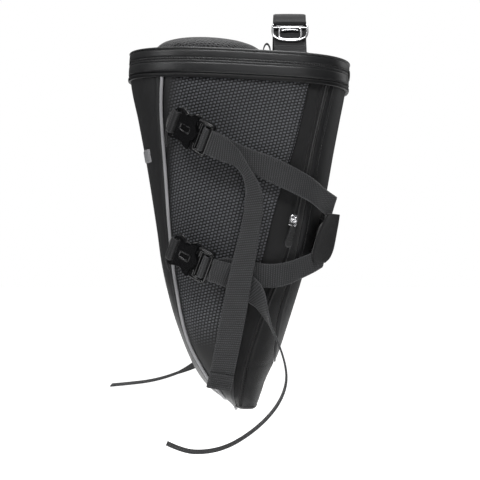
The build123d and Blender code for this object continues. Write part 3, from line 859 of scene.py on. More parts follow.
# Thread laid in short stitches along a line
def stitchRow(name, lines, material, pitch=3.1, fill=0.68, radius=0.28):
    points, faces = [], []
    for line in lines:
        runs = [0.0]
        for a, b in zip(line, line[1:]):
            runs.append(runs[-1] + (b - a).length)
        k = 0

        def at(goal, k):
            while k < len(runs) - 2 and runs[k + 1] < goal:
                k += 1
            return line[k].lerp(line[k + 1], (goal - runs[k]) / max(runs[k + 1] - runs[k], 1e-6)), k
        for s in range(int(runs[-1] / pitch)):
            start, k = at(s * pitch, k)
            end, _ = at(s * pitch + pitch * fill, k)
            along = (end - start).normalized()
            side = along.cross(Vector((0.1, 0.95, 0.3))).normalized()
            up = side.cross(along)
            base = len(points)
            for share, size in ((0, 0.35), (0.2, 1.0), (0.8, 1.0), (1, 0.35)):
                spot = start.lerp(end, share)
                for j in range(6):
                    angle = math.pi * j / 3
                    points.append(spot + (side * math.cos(angle) + up * math.sin(angle)) * radius * size)
            faces += gridFaces(4, 6, True, base)
            faces.append([base + j for j in range(6)][::-1])
            faces.append([base + 18 + j for j in range(6)])
    piece = makeMesh(name, points, faces, material, [(p.x / 100, p.z / 100) for p in points])
    return piece


# Zip teeth, two rows of small hooks meeting over the middle of a line
def teeth(name, line, faceOut, material, pitch=1.9, reach=2.1, radius=0.55):
    points, faces = [], []
    runs = [0.0]
    for a, b in zip(line, line[1:]):
        runs.append(runs[-1] + (b - a).length)
    k = 0
    for s in range(int(runs[-1] / pitch * 2)):
        goal = s * pitch / 2
        while k < len(runs) - 2 and runs[k + 1] < goal:
            k += 1
        spot = line[k].lerp(line[k + 1], (goal - runs[k]) / max(runs[k + 1] - runs[k], 1e-6))
        along = (line[k + 1] - line[k]).normalized()
        out = faceOut(spot)
        across = along.cross(out).normalized() * (1 if s % 2 else -1)
        base = len(points)
        for far, size in ((-0.35, 0.8), (0.1, 1.15), (0.5, 0.9), (1.0, 0.8)):
            centre = spot + across * (far * reach)
            for j in range(6):
                angle = math.pi * j / 3
                points.append(centre + (along * math.cos(angle) + out * math.sin(angle)) * radius * size)
        faces += gridFaces(4, 6, True, base)
        faces.append([base + j for j in range(6)][::-1])
        faces.append([base + 18 + j for j in range(6)])
    return makeMesh(name, points, faces, material, [(p.x / 100, p.z / 100) for p in points])


zipNear = seamLine("zip", 1, -0.9)
zipFar = seamLine("zip", -1, -0.9)
chain = joined("gussetZipChain", [
    teeth("chainNear", zipNear, lambda p: Vector((0.2, -1, 0)).normalized(), finish["coil"]),
    teeth("chainFar", zipFar, lambda p: Vector((0.2, 1, 0)).normalized(), finish["coil"])])
settle(chain, "root", "zip_coil", "gusset_zip_chain")

seamStitches = stitchRow("seamStitches", [
    [bodyPoint(z, angleAt(z, seamX("base", z) + 4.5), 1.25) for z in range(180, -60, -3)],
    [Vector((1, -1, 1)) * bodyPoint(z, angleAt(z, seamX("base", z) + 4.5), 1.25) for z in range(180, -60, -3)],
    [bodyPoint(z, angleAt(z, seamX("panel", z) - 4.2), 0.75) for z in range(183, -110, -3)],
    [Vector((1, -1, 1)) * bodyPoint(z, angleAt(z, seamX("panel", z) - 4.2), 0.75) for z in range(183, -110, -3)]],
    finish["thread"])
settle(seamStitches, "root", "cover_vinyl")

# Lining cup inside
liningRows = []
for z in [194 - 6 * i for i in range(56)] + [-139.5]:
    angles, _ = evenAngles(z, -math.pi, math.pi, 96)
    liningRows.append([bodyPoint(z, a, -3.4 + 0.3 * soften(*bodyPoint(z, a), 18.0, 6.0)) for a, _ in angles[:-1]])
centre = Vector((-61, 0, -140.5))
for share in (0.7, 0.35, 0.03):
    liningRows.append([centre + (p - centre) * share for p in liningRows[56]])
liningUvs = [(k * 0.075, i * 0.06) for i in range(len(liningRows)) for k in range(96)]
liningCup = makeMesh("liningCup", [p for row in liningRows for p in row],
                     [f for f in gridFaces(len(liningRows), 96, True)], finish["lining"], liningUvs)
thicken(liningCup, 0.7, 0.0)
settle(applyModifiers(liningCup), "root", "lining_fabric", "lining")
print("seams and lining made")

# Rim and lid

rimAngles, _ = evenAngles(195.0, -math.pi, math.pi, 300)
lid = {"puff": 1.1}


def rimSpot(angle, grow, height):
    x, y = outlinePoint(195.0, angle, grow)
    return onRim(x, y, height)


# Ring round the rim with a closed section of (grow, height) corners, rippled for zip coils
def rimSweep(name, section, material, count=300, ripple=0.0, pitch=1.5, wander=0.0):
    angles, around = evenAngles(195.0, -math.pi, math.pi, count)
    points, uvs = [], []
    across = [0.0]
    for a, b in zip(section, section[1:]):
        across.append(across[-1] + math.dist(a, b))
    for angle, run in angles[:-1]:
        wave = ripple * math.sin(2 * math.pi * run / pitch)
        for k, (grow, height) in enumerate(section):
            spot = rimSpot(angle, grow, height)
            ease = wander * soften(*spot, 34.0, 8.0) if grow > 0 else 0.0
            points.append(rimSpot(angle, grow + (wave if grow > 0 else 0.0) + ease, height + ease * 0.3))
            uvs.append((across[k] / 100, run / 100))
    faces = gridFaces(count, len(section), True)
    last = (count - 1) * len(section)
    for k in range(len(section)):
        n = (k + 1) % len(section)
        faces.append([last + k, last + n, n, k])
    piece = makeMesh(name, points, faces, material, uvs)
    form = bmesh.new()
    form.from_mesh(piece.data)
    bmesh.ops.recalc_face_normals(form, faces=form.faces)
    form.to_mesh(piece.data)
    form.free()
    return piece


binding = rimSweep("rimBinding", [(-2.0, -0.1), (-2.0, -4.4), (2.0, -4.6), (2.75, -4.2), (3.05, -3.4), (3.05, -1.4),
                                  (2.75, -0.5), (2.0, -0.1)], finish["binding"], wander=0.3)
settle(binding, "root", "binding", "rim_binding")
rimBand = rimSweep("rimBand", [(-2.2, 10.6), (-2.2, 0.05), (1.3, 0.05), (2.0, 0.5), (2.5, 1.4), (2.75, 3.2),
                               (2.8, 6.0), (2.75, 8.6), (2.7, 10.3), (2.5, 10.6)], finish["lid"], wander=0.5)
settle(rimBand, "root", "cover_vinyl", "rim_band")
tapeShape = [(-1.5, -0.1), (2.35, -0.1), (2.5, 0.2), (2.5, 2.0), (2.35, 2.25), (-1.5, 2.25)]
coilShape = [(1.6, 0.35), (2.3, 0.3), (2.5, 0.6), (2.55, 1.1), (2.5, 1.6), (2.3, 1.9), (1.6, 1.85)]
rimCoil = joined("rimZipCoil", [
    rimSweep("rimTape", [(g, h + 10.75) for g, h in tapeShape], finish["lid"]),
    rimSweep("rimTeeth", [(g, h + 10.75) for g, h in coilShape], finish["lid"], 1500, 0.1, 1.55)])
settle(rimCoil, "root", "zip_coil", "rim_zip_coil")
lidCoil = joined("lidZipCoil", [
    rimSweep("lidTape", [(g, h + 13.25) for g, h in tapeShape], finish["lid"]),
    rimSweep("lidTeeth", [(g + 0.1, h + 13.25) for g, h in coilShape], finish["coil"], 1500, 0.28, 2.8)])
settle(lidCoil, "lid", "zip_coil", "lid_zip_coil")
lidBand = rimSweep("lidBand", [(-2.2, 23.2), (-2.2, 15.5), (2.5, 15.5), (2.7, 15.8), (2.72, 17.5), (2.7, 19.5),
                               (2.6, 21.5), (2.4, 22.7), (2.0, 23.2)], finish["lid"], wander=0.4)
settle(lidBand, "lid", "cover_vinyl", "lid_band")
edgeBead = rimSweep("lidEdgePiping", [(1.9 + 1.15 * math.cos(a), 24.3 + 1.15 * math.sin(a)) for a in
                                      around(10)], finish["lid"], wander=0.25)
settle(edgeBead, "lid", "cover_vinyl", "lid_edge_piping")

lidRings = []
lidProfile = [(1.3, 23.3), (1.5, 24.2), (1.2, 25.2), (0.4, 25.8), (-1.2, 26.0), (-3.2, 25.5), (-4.0, 25.3),
              (-4.8, 25.5), (-7.0, 26.1)]
for grow, height in lidProfile:
    lidRings.append([rimSpot(a, grow, height) for a, _ in rimAngles[:-1]])
for share in (0.93, 0.85, 0.75, 0.63, 0.5, 0.36, 0.2, 0.01):
    ring = []
    for spot in lidRings[len(lidProfile) - 1]:
        x, y = -67 + (spot.x + 67) * share, spot.y * share
        crest = lid["puff"] * (1 - share**2) + 0.5 * soften(x, y, 0, 30.0, 9.0) * (1 - share)
        ring.append(onRim(x, y, 26.1 + crest))
    lidRings.append(ring)
lidTop = makeMesh("lidTopPanel", [p for ring in lidRings for p in ring], gridFaces(len(lidRings), 300, True),
                  finish["lid"], [(p.x / 100, p.y / 100) for ring in lidRings for p in ring], away=(-67, 0, 100))
underSpots = [rimSpot(a, grow, 23.3) for grow in (-1.8, -30, -60, -88) for a, _ in rimAngles[:-1]]
underUvs = [(rimSpot(a, grow, 0).x / 100, rimSpot(a, grow, 0).y / 100) for grow in (-1.8, -30, -60, -88)
            for a, _ in rimAngles[:-1]]
lidUnder = makeMesh("lidUnder", underSpots, gridFaces(4, 300, True), finish["lining"], underUvs, away=(-67, 0, 300))
settle(joined("lidTopPanel", [lidTop, lidUnder]), "lid", "cover_vinyl", "lid_top_panel")
lidStitches = stitchRow("lidStitches", [[rimSpot(a, -6.6, 26.15) for a, _ in rimAngles]], finish["thread"], 3.4)
settle(lidStitches, "lid", "cover_vinyl")
bandStitches = stitchRow("bandStitches", [[rimSpot(a, 2.55, 2.3) for a, _ in rimAngles]], finish["thread"], 3.4)
settle(bandStitches, "root", "cover_vinyl")
print("rim and lid made")

# Buckles: each is built in its own plane, u towards the free end, v up the strap's width, w outwards

buckle = {"width": 35.0, "web": 25.0}
buckleFrames = {
    "upper": {"centre": (-115.0, -99.0, 138.0), "along": (0.786, -0.375, -0.491)},
    "lower": {"centre": (-116.0, -84.5, 11.5), "along": (0.82, -0.33, -0.467)},
}
for item in buckleFrames.values():
    along = Vector(item["along"]).normalized()
    across = Vector((-0.344, 0.394, -0.852))
    out = across.cross(along).normalized()
    item["out"], item["u"] = out, along
    item["v"] = out.cross(along).normalized()


def inBuckle(item):
    centre, u, v, w = Vector(item["centre"]), item["u"], item["v"], item["out"]
    return lambda p: centre + u * p[0] + v * p[1] + w * p[2]


def mirrorLoop(loop):
    return loop + [(x, -y) for x, y in loop[::-1]]


def socketPiece(name, place):
    half = buckle["width"] / 2
    outline = mirrorLoop([(-23.0, 3.0), (-23.0, 12.6), (-22.2, 14.6), (-20.6, 15.4), (-17.8, 15.6), (-15.6, 14.6),
                          (-12.8, 13.1), (-9.6, 12.5), (-6.4, 12.9), (-3.8, 14.4), (-2.0, 16.3), (-0.4, 17.2),
                          (2.2, half), (3.4, half - 0.6), (3.9, half - 2.0), (3.9, 9.8), (4.3, 8.2), (7.0, 4.4),
                          (8.0, 3.0), (8.4, 1.4)])
    slot = roundedBox(-20.6, -12.9, -16.9, 12.9, 1.2, 3)
    base = plate(name + "Base", [outline, slot], -4.1, 2.6, 0.8, finish["buckle"], place)
    top = mirrorLoop([(-15.2, 3.0), (-15.2, 11.0), (-14.4, 12.3), (-12.6, 12.2), (-9.6, 11.5), (-6.6, 11.9),
                      (-4.2, 13.2), (-2.4, 15.2), (-0.6, 16.1), (2.0, 16.3), (2.9, 15.4), (3.0, 9.6), (3.4, 7.9),
                      (6.2, 4.0), (7.2, 2.4), (7.5, 1.0)])
    hole = roundedBox(-11.4, -2.3, -1.6, 2.3, 1.1, 3)
    crest = plate(name + "Crest", [top, hole], 1.8, 4.2, 0.75, finish["buckle"], place)
    rim = roundedBox(-13.1, -4.0, 0.2, 4.0, 2.2, 4)
    inner = roundedBox(-12.0, -2.9, -1.0, 2.9, 1.4, 4)
    raised = plate(name + "Raised", [rim, inner], 3.9, 4.7, 0.35, finish["buckle"], place)
    bar = plate(name + "Bar", [roundedBox(-22.8, -12.4, -20.7, 12.4, 0.9, 3)],
                1.6, 3.6, 0.8, finish["buckle"], place)
    return joined(name, [base, crest, raised, bar])


def plugPiece(name, place):
    half = buckle["width"] / 2 - 0.3
    outline = mirrorLoop([(9.1, 1.4), (8.5, 3.2), (7.6, 4.8), (4.9, 8.6), (4.5, 10.0), (4.5, half - 2.0),
                          (5.0, half - 0.7), (6.2, half), (20.2, half), (22.0, half - 0.7), (22.8, half - 2.2),
                          (23.0, half - 4.6)])
    web = buckle["web"] / 2 + 0.7
    first = roundedBox(10.4, -web, 14.6, web, 1.3, 3)
    second = roundedBox(18.2, -web, 20.7, web, 1.1, 3)
    base = plate(name + "Base", [outline, first, second], -3.9, 2.2, 0.8, finish["buckle"], place)
    rails = []
    for side in (1, -1):
        rail = [(5.4, side * 11.6), (5.4, side * 15.6), (6.6, side * 16.6), (20.4, side * 16.6),
                (22.0, side * 15.4), (22.0, side * 14.2), (9.0, side * 13.9), (9.2, side * 8.0), (8.4, side * 7.2),
                (6.6, side * 9.4)]
        rails.append(plate(name + "Rail", [roundedLoop(rail if side > 0 else rail[::-1], 0.6, 2)], 1.4, 4.0, 0.7,
                           finish["buckle"], place))
    bar = tube(name + "Bar", [place((16.4, v, 0.2)) for v in (-13.4, -9, 0, 9, 13.4)], 1.75, finish["buckle"], 12)
    end = tube(name + "End", [place((21.7, v, 1.5)) for v in (-14.6, -13.0, -7, 0, 7, 13.0, 14.6)], 1.5,
               finish["buckle"], 12)
    ribs = [plate(name + "Rib", [roundedBox(11.2, s * 15.1 - 0.5, 19.6, s * 15.1 + 0.5, 0.4, 2)], 3.6, 4.5, 0.3,
                  finish["buckle"], place)
            for s in (1, -1)]
    return joined(name, [base, bar, end] + rails + ribs)


def armsPiece(name, place):
    parts = []
    for side in (1, -1):
        arm = [(4.8, side * 8.0), (4.8, side * 12.0), (-3.6, side * 12.2), (-4.6, side * 15.0), (-9.4, side * 14.6),
               (-13.0, side * 12.0), (-12.6, side * 9.4), (-6.0, side * 8.6)]
        parts.append(plate(name + "Arm", [roundedLoop(arm if side > 0 else arm[::-1], 1.0, 3)], -1.9, 1.9, 0.5,
                           finish["buckle"], place))
    return joined(name, parts)


stubAnchors = {"upper": [((-141.5, -74.5, 124), (-140.5, -78, 149))],
               "lower": [((-139, -61, -2), (-138.5, -62.5, 23))]}
loadWeb = {
    "upper": [((-98.8, -101.2, 115.8), (-90.2, -111, 137)), ((-80, -98, 107), (-79, -102, 131)),
              ((-60, -96.5, 98), (-60, -97, 122)), ((-37, -96, 87), (-33, -97, 112)),
              ((-15, -93, 77), (-10, -93, 101)),
              ((3, -84, 68), (6, -84, 92)), ((15, -71, 59), (19, -70, 82)), ((25, -54.6, 51), (32, -54.6, 74))],
    "lower": [((-99, -85.5, -10), (-90.4, -95.3, 11.2)), ((-80, -84.5, -12), (-79, -87, 12)),
              ((-60, -83.5, -15), (-60, -84.5, 9)), ((-39, -83, -18), (-38, -83.5, 6)),
              ((-22, -80, -16), (-20, -80, 8)),
              ((-5, -71, -9), (-2, -71, 14)), ((8, -62.5, -3), (13, -62.5, 20)), ((17, -54.6, 2), (23, -54.6, 24))],
}
upperTail = [((-100.5, -105.2, 114.6), (-92, -115, 136)), ((-86, -107, 108), (-83, -112, 132)),
             ((-73, -106, 103), (-69, -107, 120)), ((-65, -103, 93), (-57, -103, 101)),
             ((-62, -100, 80), (-47, -99, 84)),
             ((-63, -98, 62), (-44, -97, 64)), ((-67, -97, 38), (-47, -96.5, 40)),
             ((-74, -96.5, 12), (-51, -96.5, 14)),
             ((-80, -95.5, -14), (-56, -95.5, -14)), ((-85, -90, -40), (-60, -91, -40)),
             ((-90, -83, -66), (-65, -83, -67)),
             ((-95, -76, -91), (-70, -76, -92)), ((-101, -66, -118), (-76, -66, -122))]


def flipped(edges, side):
    return [((a[0], a[1] * side, a[2]), (b[0], b[1] * side, b[2])) for a, b in edges]


# Webbing baked in place where it lies, with the frame's part hidden. The midpoints of its two given edges are
# worked out but not used
def bendsWith(piece, near, far, node):
    tuple(Vector(near[0]).lerp(Vector(near[1]), 0.5) * mm)
    tuple(Vector(far[0]).lerp(Vector(far[1]), 0.5) * mm)
    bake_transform(piece)
    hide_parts(node)


# Edge points of webbing given by its path in a buckle's plane
def inFrame(place, path, half=12.4):
    return [(place((u, -half, w)), place((u, half, w))) for u, w in path]


for side, word in ((1, "near"), (-1, "far")):
    for level, item in buckleFrames.items():
        base = inBuckle(item)

        def place(p, base=base, side=side):
            spot = base(p)
            return Vector((spot.x, spot.y * side, spot.z))
        plugBody = level + "_plug_" + word
        title = level.capitalize() + "_" + word
        socket = socketPiece("buckleSocket" + title, place)
        settle(socket, "root", "buckle_plastic", level + "_buckle_socket_" + word)
        plug = plugPiece("bucklePlug" + title, place)
        settle(plug, plugBody, "buckle_plastic", level + "_buckle_plug_" + word)
        arms = armsPiece("buckleArms" + title, place)
        settle(arms, plugBody, "buckle_plastic", level + "_buckle_arms_" + word)
        # the stub comes through the slot from behind, over the bar and back to the seam
        anchor = flipped(stubAnchors[level], side)
        low, high = Vector(anchor[0][0]), Vector(anchor[0][1])
        inner = inFrame(place, [(-25.5, 3.4), (-22.0, 4.9), (-19.3, 3.4), (-18.4, 0.6)], 11.8)
        bow = Vector((-0.5, -0.8 * side, 0.1)) * 2.0
        path = [(low, high), (low.lerp(inner[0][0], 0.5) + bow, high.lerp(inner[0][1], 0.5) + bow)] + inner
        stub = ribbon("stub" + title, path, 1.7, finish["stub"], 14, 8, 0.3)
        settle(stub, "root", "webbing", level + "_buckle_stub_" + word)
        # the load webbing, running from the plug at one end to the bag at the other, baked in place
        edges = flipped(loadWeb[level], side)
        strap = ribbon("loadStrap" + title, edges, 1.7, finish["strap"], 14, 10, 0.35)
        bendsWith(strap, edges[0], edges[3], level + "_load_strap_" + word)
        roll = ribbon("barRoll" + title, inFrame(place, [(23.6, -2.6), (20.6, -2.7), (17.6, -2.4), (14.6, -1.9),
                                                         (13.3, 0.6), (14.2, 3.2), (16.4, 4.2), (18.2, 3.4),
                                                         (19.3, 1.0), (20.8, -0.9), (23.4, -1.2)], 12.3),
                      1.6, finish["strap"], 14, 8)
        settle(roll, plugBody, "webbing")
    start = inFrame(lambda p: Vector((1, side, 1)) * inBuckle(buckleFrames["upper"])(p), [(21.4, -0.8)], 12.2)
    tailEdges = [start[0]] + flipped(upperTail, side)
    tail = ribbon("upperTail_" + word, tailEdges, 1.8, finish["strap"], 14, 12, 0.5)
    bendsWith(tail, tailEdges[1], tailEdges[7], "upper_tail_" + word)
    # the folded and sewn end
    last = flipped(upperTail, side)[-2:]
    a, b = Vector(last[1][0]), Vector(last[1][1])
    back = (Vector(last[0][0]) - a).normalized()
    out = back.cross(b - a).normalized() * side * -1
    fold = ribbon("tailFold_" + word, [(a + back * 16 + out * 1.7, b + back * 16 + out * 1.7),
                                       (a + back * 6 + out * 1.8, b + back * 6 + out * 1.8),
                                       (a + out * 1.4, b + out * 1.4),
                                       (a - back * 1.2 + out * 0.2, b - back * 1.2 + out * 0.2)], 1.6,
                  finish["strap"], 14, 6)
    settle(fold, "root", "webbing")
    across = (b - a).normalized()
    rows = [[a + across * 3 + back * r + out * 2.8, b - across * 3 + back * r + out * 2.8] for r in (4, 7.5, 13)]
    rows += [[a + across * 3 + back * 4 + out * 2.8, a + across * 3 + back * 13 + out * 2.8],
             [b - across * 3 + back * 4 + out * 2.8, b - across * 3 + back * 13 + out * 2.8]]
    settle(stitchRow("tailStitches_" + word, rows, finish["thread"], 2.6, 0.7, 0.3), "root", "webbing")
print("buckles and straps made")

# The lower buckles' loose tails, flat webbing along a smooth route

tails = {
    "near": {"route": [(-96, -97.2, 0), (-84, -92.6, -3), (-71, -88.4, -9), (-58, -86.6, -18), (-47, -87.4, -31),
                       (-39, -88.5, -50), (-28, -88, -74), (-21, -87, -96), (-20, -86, -114), (-27, -84, -133),
                       (-41, -82, -151), (-60, -80, -167), (-81, -79, -179), (-103, -78, -184), (-124, -77, -183),
                       (-141, -76, -175)],
             "turns": [-26, -15, -8, -22, -62, -86] + 10 * [-90]},
    "far": {"route": [(-96, 97.2, 0), (-85, 91.5, -4), (-77, 88, -15), (-73, 85.5, -32), (-75, 82.3, -50),
                      (-82, 78.3, -68), (-92, 74.4, -86), (-105, 71, -101), (-121, 67.5, -111), (-140, 64, -119),
                      (-161, 61, -125), (-184, 58, -128), (-209, 56, -130)],
            "turns": [-24, -10, 0, 0, 3, 8, 26, 52, 78]},
    "width": 25.0,
    "thickness": 1.8,
}


def routeSpline(route):
    curve = bpy.data.curves.new("route", "CURVE")
    curve.dimensions = "3D"
    curve.resolution_u = 10
    spline = curve.splines.new("NURBS")
    spline.points.add(len(route) - 1)
    for point, spot in zip(spline.points, route):
        point.co = (*[c * mm for c in spot], 1)
    spline.order_u = 3
    spline.use_endpoint_u = True
    holder = bpy.data.objects.new("route", curve)
    show(holder)
    graph = bpy.context.evaluated_depsgraph_get()
    line = bpy.data.meshes.new_from_object(holder.evaluated_get(graph))
    spots = [vertex.co / mm for vertex in line.vertices]
    bpy.data.objects.remove(holder)
    return spots


for word in ("near", "far"):
    route, turns = tails[word]["route"], tails[word]["turns"]
    line = routeSpline(route)
    sign = math.copysign(1, route[0][1])
    edges = []
    for i, spot in enumerate(line):
        along = line[min(i + 1, len(line) - 1)] - line[max(i - 1, 0)]
        place = i / (len(line) - 1) * (len(route) - 1)
        whole = int(place)
        first, second = [turns[k] if k < len(turns) else 90 for k in (whole, whole + 1)]
        turn = math.radians(first + (second - first) * (place - whole))
        flat = Vector((0, 1, 0)).cross(along).normalized()
        edge = flat * math.cos(turn) + Vector((0, sign, 0)) * math.sin(turn)
        half = tails["width"] / 2
        edges.append((spot + edge * half, spot - edge * half))
    loose = ribbon("looseTail_" + word, edges, tails["thickness"], finish["strap"], 14, 2, 0.4)
    settle(loose, "lower_plug_" + word, "webbing", "lower_tail_" + word)
    real = sum((b - a).length for a, b in zip(line, line[1:])) * mm
    print("loose tail", word, round(real, 4))

# Gusset sliders and pulls

slider = {"origin": (-14.5, -79.661, 50.0), "down": (-0.297111, 0.046934, -0.953689),
          "out": (0.333176, -0.930919, -0.14961), "base": 2.0}


def inSlider(side):
    origin, u, w = [Vector(slider[key]) for key in ("origin", "down", "out")]
    v = w.cross(u).normalized()

    def place(p):
        spot = origin + u * p[0] + v * p[1] + w * p[2]
        return Vector((spot.x, spot.y * side, spot.z))
    return place


for side, word in ((1, "near"), (-1, "far")):
    place = inSlider(side)
    low = slider["base"]
    bodyLoop = roundedLoop([(-6, -2.6, 1.2), (-3.6, -4.5, 1.6), (3.4, -4.2, 1.6), (6, -3.2, 1.4), (6, 3.2, 1.4),
                            (3.4, 4.2, 1.6), (-3.6, 4.5, 1.6), (-6, 2.6, 1.2)], 1.4, 4)
    lowPlate = plate("sliderLow", [bodyLoop], low - 0.2, low + 1.0, 0.4, finish["metal"], place)
    highPlate = plate("sliderHigh", [bodyLoop], low + 1.7, low + 3.3, 0.6, finish["metal"], place)
    post = plate("sliderPost", [roundedBox(-4.8, -1.2, 0.6, 1.2, 0.9, 3)], low + 0.6,
                 low + 2.2, 0.2, finish["metal"], place)
    arch = smoothPath([place((u, 0, low + w)) for u, w in ((-4.6, 3.0), (-3.8, 5.2), (-1.4, 6.0), (0.9, 5.2),
                                                           (1.5, 3.0))],
                      6)
    bridge = tube("sliderBridge", arch, 0.95, finish["metal"], 10)
    settle(joined("gussetSlider_" + word, [lowPlate, highPlate, post, bridge]), "gusset_slider_" + word, "chrome",
           "gusset_slider_" + word)
    ring = [place((2.4 + 4.2 * math.cos(a), 2.9 * math.sin(a), low + 4.7)) for a in around(24)]
    link = tube("pullRing", ring, 0.7, finish["metal"], 8, closed=True)
    grip = [(4.6, 1.9), (6.4, 2.7), (9, 3.1), (15, 3.3), (20, 3.7), (24, 4.2), (26.4, 3.6), (27.4, 1.6)]
    gripLoop = roundedLoop([(u, v) for u, v in grip] + [(u, -v) for u, v in grip[::-1]], 1.4, 3)
    core = plate("pullGrip", [gripLoop], low + 3.5, low + 7.3, 1.5, finish["grip"], place, 4)
    ridges = [plate("pullRidge", [roundedBox(u, -2.5, u + 0.9, 2.5, 0.4, 2)], low + 6.9,
                    low + 7.7, 0.3, finish["grip"], place) for u in (10.5, 13, 15.5, 18, 20.5)]
    settle(joined("gussetPull_" + word, [link, core] + ridges), "gusset_pull_" + word, "pull_cord",
           "gusset_pull_" + word)

# The lid zip's slider on the far side
lidSliderBox = [Vector(corner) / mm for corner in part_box("lid_slider")]
lidPullBox = [Vector(corner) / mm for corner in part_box("lid_pull")]
sliderMid = (lidSliderBox[0] + lidSliderBox[1]) / 2
pullMid = (lidPullBox[0] + lidPullBox[1]) / 2


def onFar(p):
    return Vector((sliderMid.x + p[0], sliderMid.y + p[2], sliderMid.z - p[1]))


lidBodyLoop = roundedLoop([(-6, -2.6), (-3.4, -4.5), (3.4, -4.5), (6, -3.2), (6, 3.2), (3.4, 4.5), (-3.4, 4.5),
                           (-6, 2.6)], 1.4, 4)
lidSlider = joined("lidSlider", [
    plate("lidSliderLow", [lidBodyLoop], -1.7, -0.7, 0.4, finish["metal"], onFar),
    plate("lidSliderHigh", [lidBodyLoop], 0.1, 1.6, 0.55, finish["metal"], onFar),
    plate("lidSliderPost", [roundedBox(-4, -1, 1, 1, 0.8, 3)], -1.0, 0.4, 0.2,
          finish["metal"], onFar),
    tube("lidSliderBridge", smoothPath([onFar((-4, 0, 1.2)), onFar((-3, 0, 3.0)), onFar((0, 0, 3.6)),
                                        onFar((3, 0, 3.0)),
                                        onFar((4, 0, 1.2))], 5), 0.85, finish["metal"], 10)])
settle(lidSlider, "lid_slider", "chrome", "lid_slider")


def onPull(p):
    return Vector((pullMid.x + p[0], pullMid.y + p[2], pullMid.z - p[1]))


halfPull = (lidPullBox[1].z - lidPullBox[0].z) / 2
pullGripLoop = roundedLoop([(-1.6, -halfPull + 3), (1.6, -halfPull + 3), (3.2, -halfPull + 8), (4.0, halfPull - 3),
                            (2.4, halfPull), (-2.4, halfPull), (-4.0, halfPull - 3), (-3.2, -halfPull + 8)], 1.4, 3)
pullRing = tube("lidPullRing", [onPull((2.6 * math.sin(a), -halfPull + 3.0 - 3.4 * math.cos(a), 0)) for a in
                                around(20)], 0.6, finish["metal"], 8, closed=True)
lidPull = joined("lidPull", [plate("lidPullGrip", [pullGripLoop], -1.3, 1.3, 0.8, finish["grip"], onPull, 4),
                             pullRing])
settle(lidPull, "lid_pull", "pull_cord", "lid_pull")
print("sliders made")

# Carry handle

handle = {"x": -14.5, "half": 17.0, "thickness": 1.7, "buckleY": -19.0, "buckleRise": 29.0, "tall": 1.13}
lidHigh = (onRim(handle["x"], 0, 25.98)).z
nearWeb = [(-62, 2.4), (-46, 2.6), (-32, 6.0), (-25.0, 14.4)]
farWeb = [(-12, 42.0), (-4, 49.8), (8, 51.2), (22, 46.4), (38, 32.4), (52, 16.4), (62, 6.6), (70, 2.7), (84, 2.5)]


def handleEdges(path):
    return [((handle["x"] - handle["half"], y, lidHigh + z), (handle["x"] + handle["half"], y, lidHigh + z))
            for y, z in path]


handleOut = Vector((0, -0.91, 0.42)).normalized()
handleUp = handleOut.cross(Vector((1, 0, 0))).normalized()


def inHandle(p):
    return (Vector((handle["x"], handle["buckleY"], lidHigh + handle["buckleRise"])) + Vector((1, 0, 0)) * p[0]
            + handleUp * (p[1] * handle["tall"]) + handleOut * p[2])


settle(ribbon("handleWebNear", handleEdges(nearWeb), handle["thickness"], finish["handle"], 16, 10), "lid",
       "webbing",
       "handle_web_near")
overBar = [(-15.6, 36.4), (-17.2, 39.4), (-16.0, 41.6)] + farWeb
settle(ribbon("handleWebFar", handleEdges(overBar), handle["thickness"], finish["handle"], 16, 10, 0.3), "lid",
       "webbing", "handle_web_far")
backing = [(-25.0, 14.4), (-20.0, 19.6), (-16.1, 27.6), (-12.6, 35.0), (-11.2, 39.5)]
settle(ribbon("handleBacking", handleEdges(backing), handle["thickness"], finish["handle"], 16, 8, 0.3), "lid",
       "webbing")
sewn = [[Vector((handle["x"] + s, y, lidHigh + 2.5 + 1.15)) for y in (-59, -40)] for s in (-14, 14)]
sewn += [[Vector((handle["x"] - 14, y, lidHigh + 3.6)), Vector((handle["x"] + 14, y, lidHigh + 3.6))]
         for y in (-59, -40)]
sewn += [[Vector((handle["x"] + s, y, lidHigh + 2.6 + 1.1)) for y in (71, 82)] for s in (-14, 14)]
sewn += [[Vector((handle["x"] - 14, 82, lidHigh + 3.6)), Vector((handle["x"] + 14, 82, lidHigh + 3.6))]]
settle(stitchRow("handleStitches", sewn, finish["thread"], 2.8, 0.7, 0.3), "lid", "webbing")

eyes = [[(x + 1.7 * math.cos(a), 7.1 + 0.9 * math.sin(a)) for a in around(16)]
        for x in (-15.8, 15.8)]
topBar = plate("handleBar", [roundedLoop([(-19.2, 4.6), (19.2, 4.6), (19.2, 8.0), (16.6, 9.6), (-16.6, 9.6),
                                          (-19.2, 8.0)],
                                         1.4, 5)] + eyes, -1.4, 1.4, 0.7, finish["metal"], inHandle, 4)
hoopPath = [(-18.0, 6.5), (-18.0, 0), (-15.6, -5.0), (-9, -7.8), (0, -8.6), (9, -7.8), (15.6, -5.0), (18.0, 0),
            (18.0, 6.5)]
hoop = tube("handleHoop", smoothPath([inHandle((x, y, 0.2)) for x, y in hoopPath], 6), 1.35, finish["metal"], 12)
windowLoop = roundedBox(-11.4, -7.3, 11.4, 6.3, 5.0, 6)
windowRim = tube("handleWindow", [inHandle((x, y, 0.4)) for x, y in windowLoop], 1.15, finish["metal"], 12,
                 closed=True)
settle(joined("handleBuckle", [topBar, hoop, windowRim]), "lid", "chrome", "handle_buckle")
latchArc = smoothPath([inHandle((x, 2.4 + 0.9 * (1 - (x / 9) ** 2), -0.2)) for x in (-8.8, -5, 0, 5, 8.8)], 6)
latch = tube("handleLatch", latchArc, 1.5, finish["metal"], 12, 0.75)
settle(latch, "handle_latch", "chrome", "handle_latch")

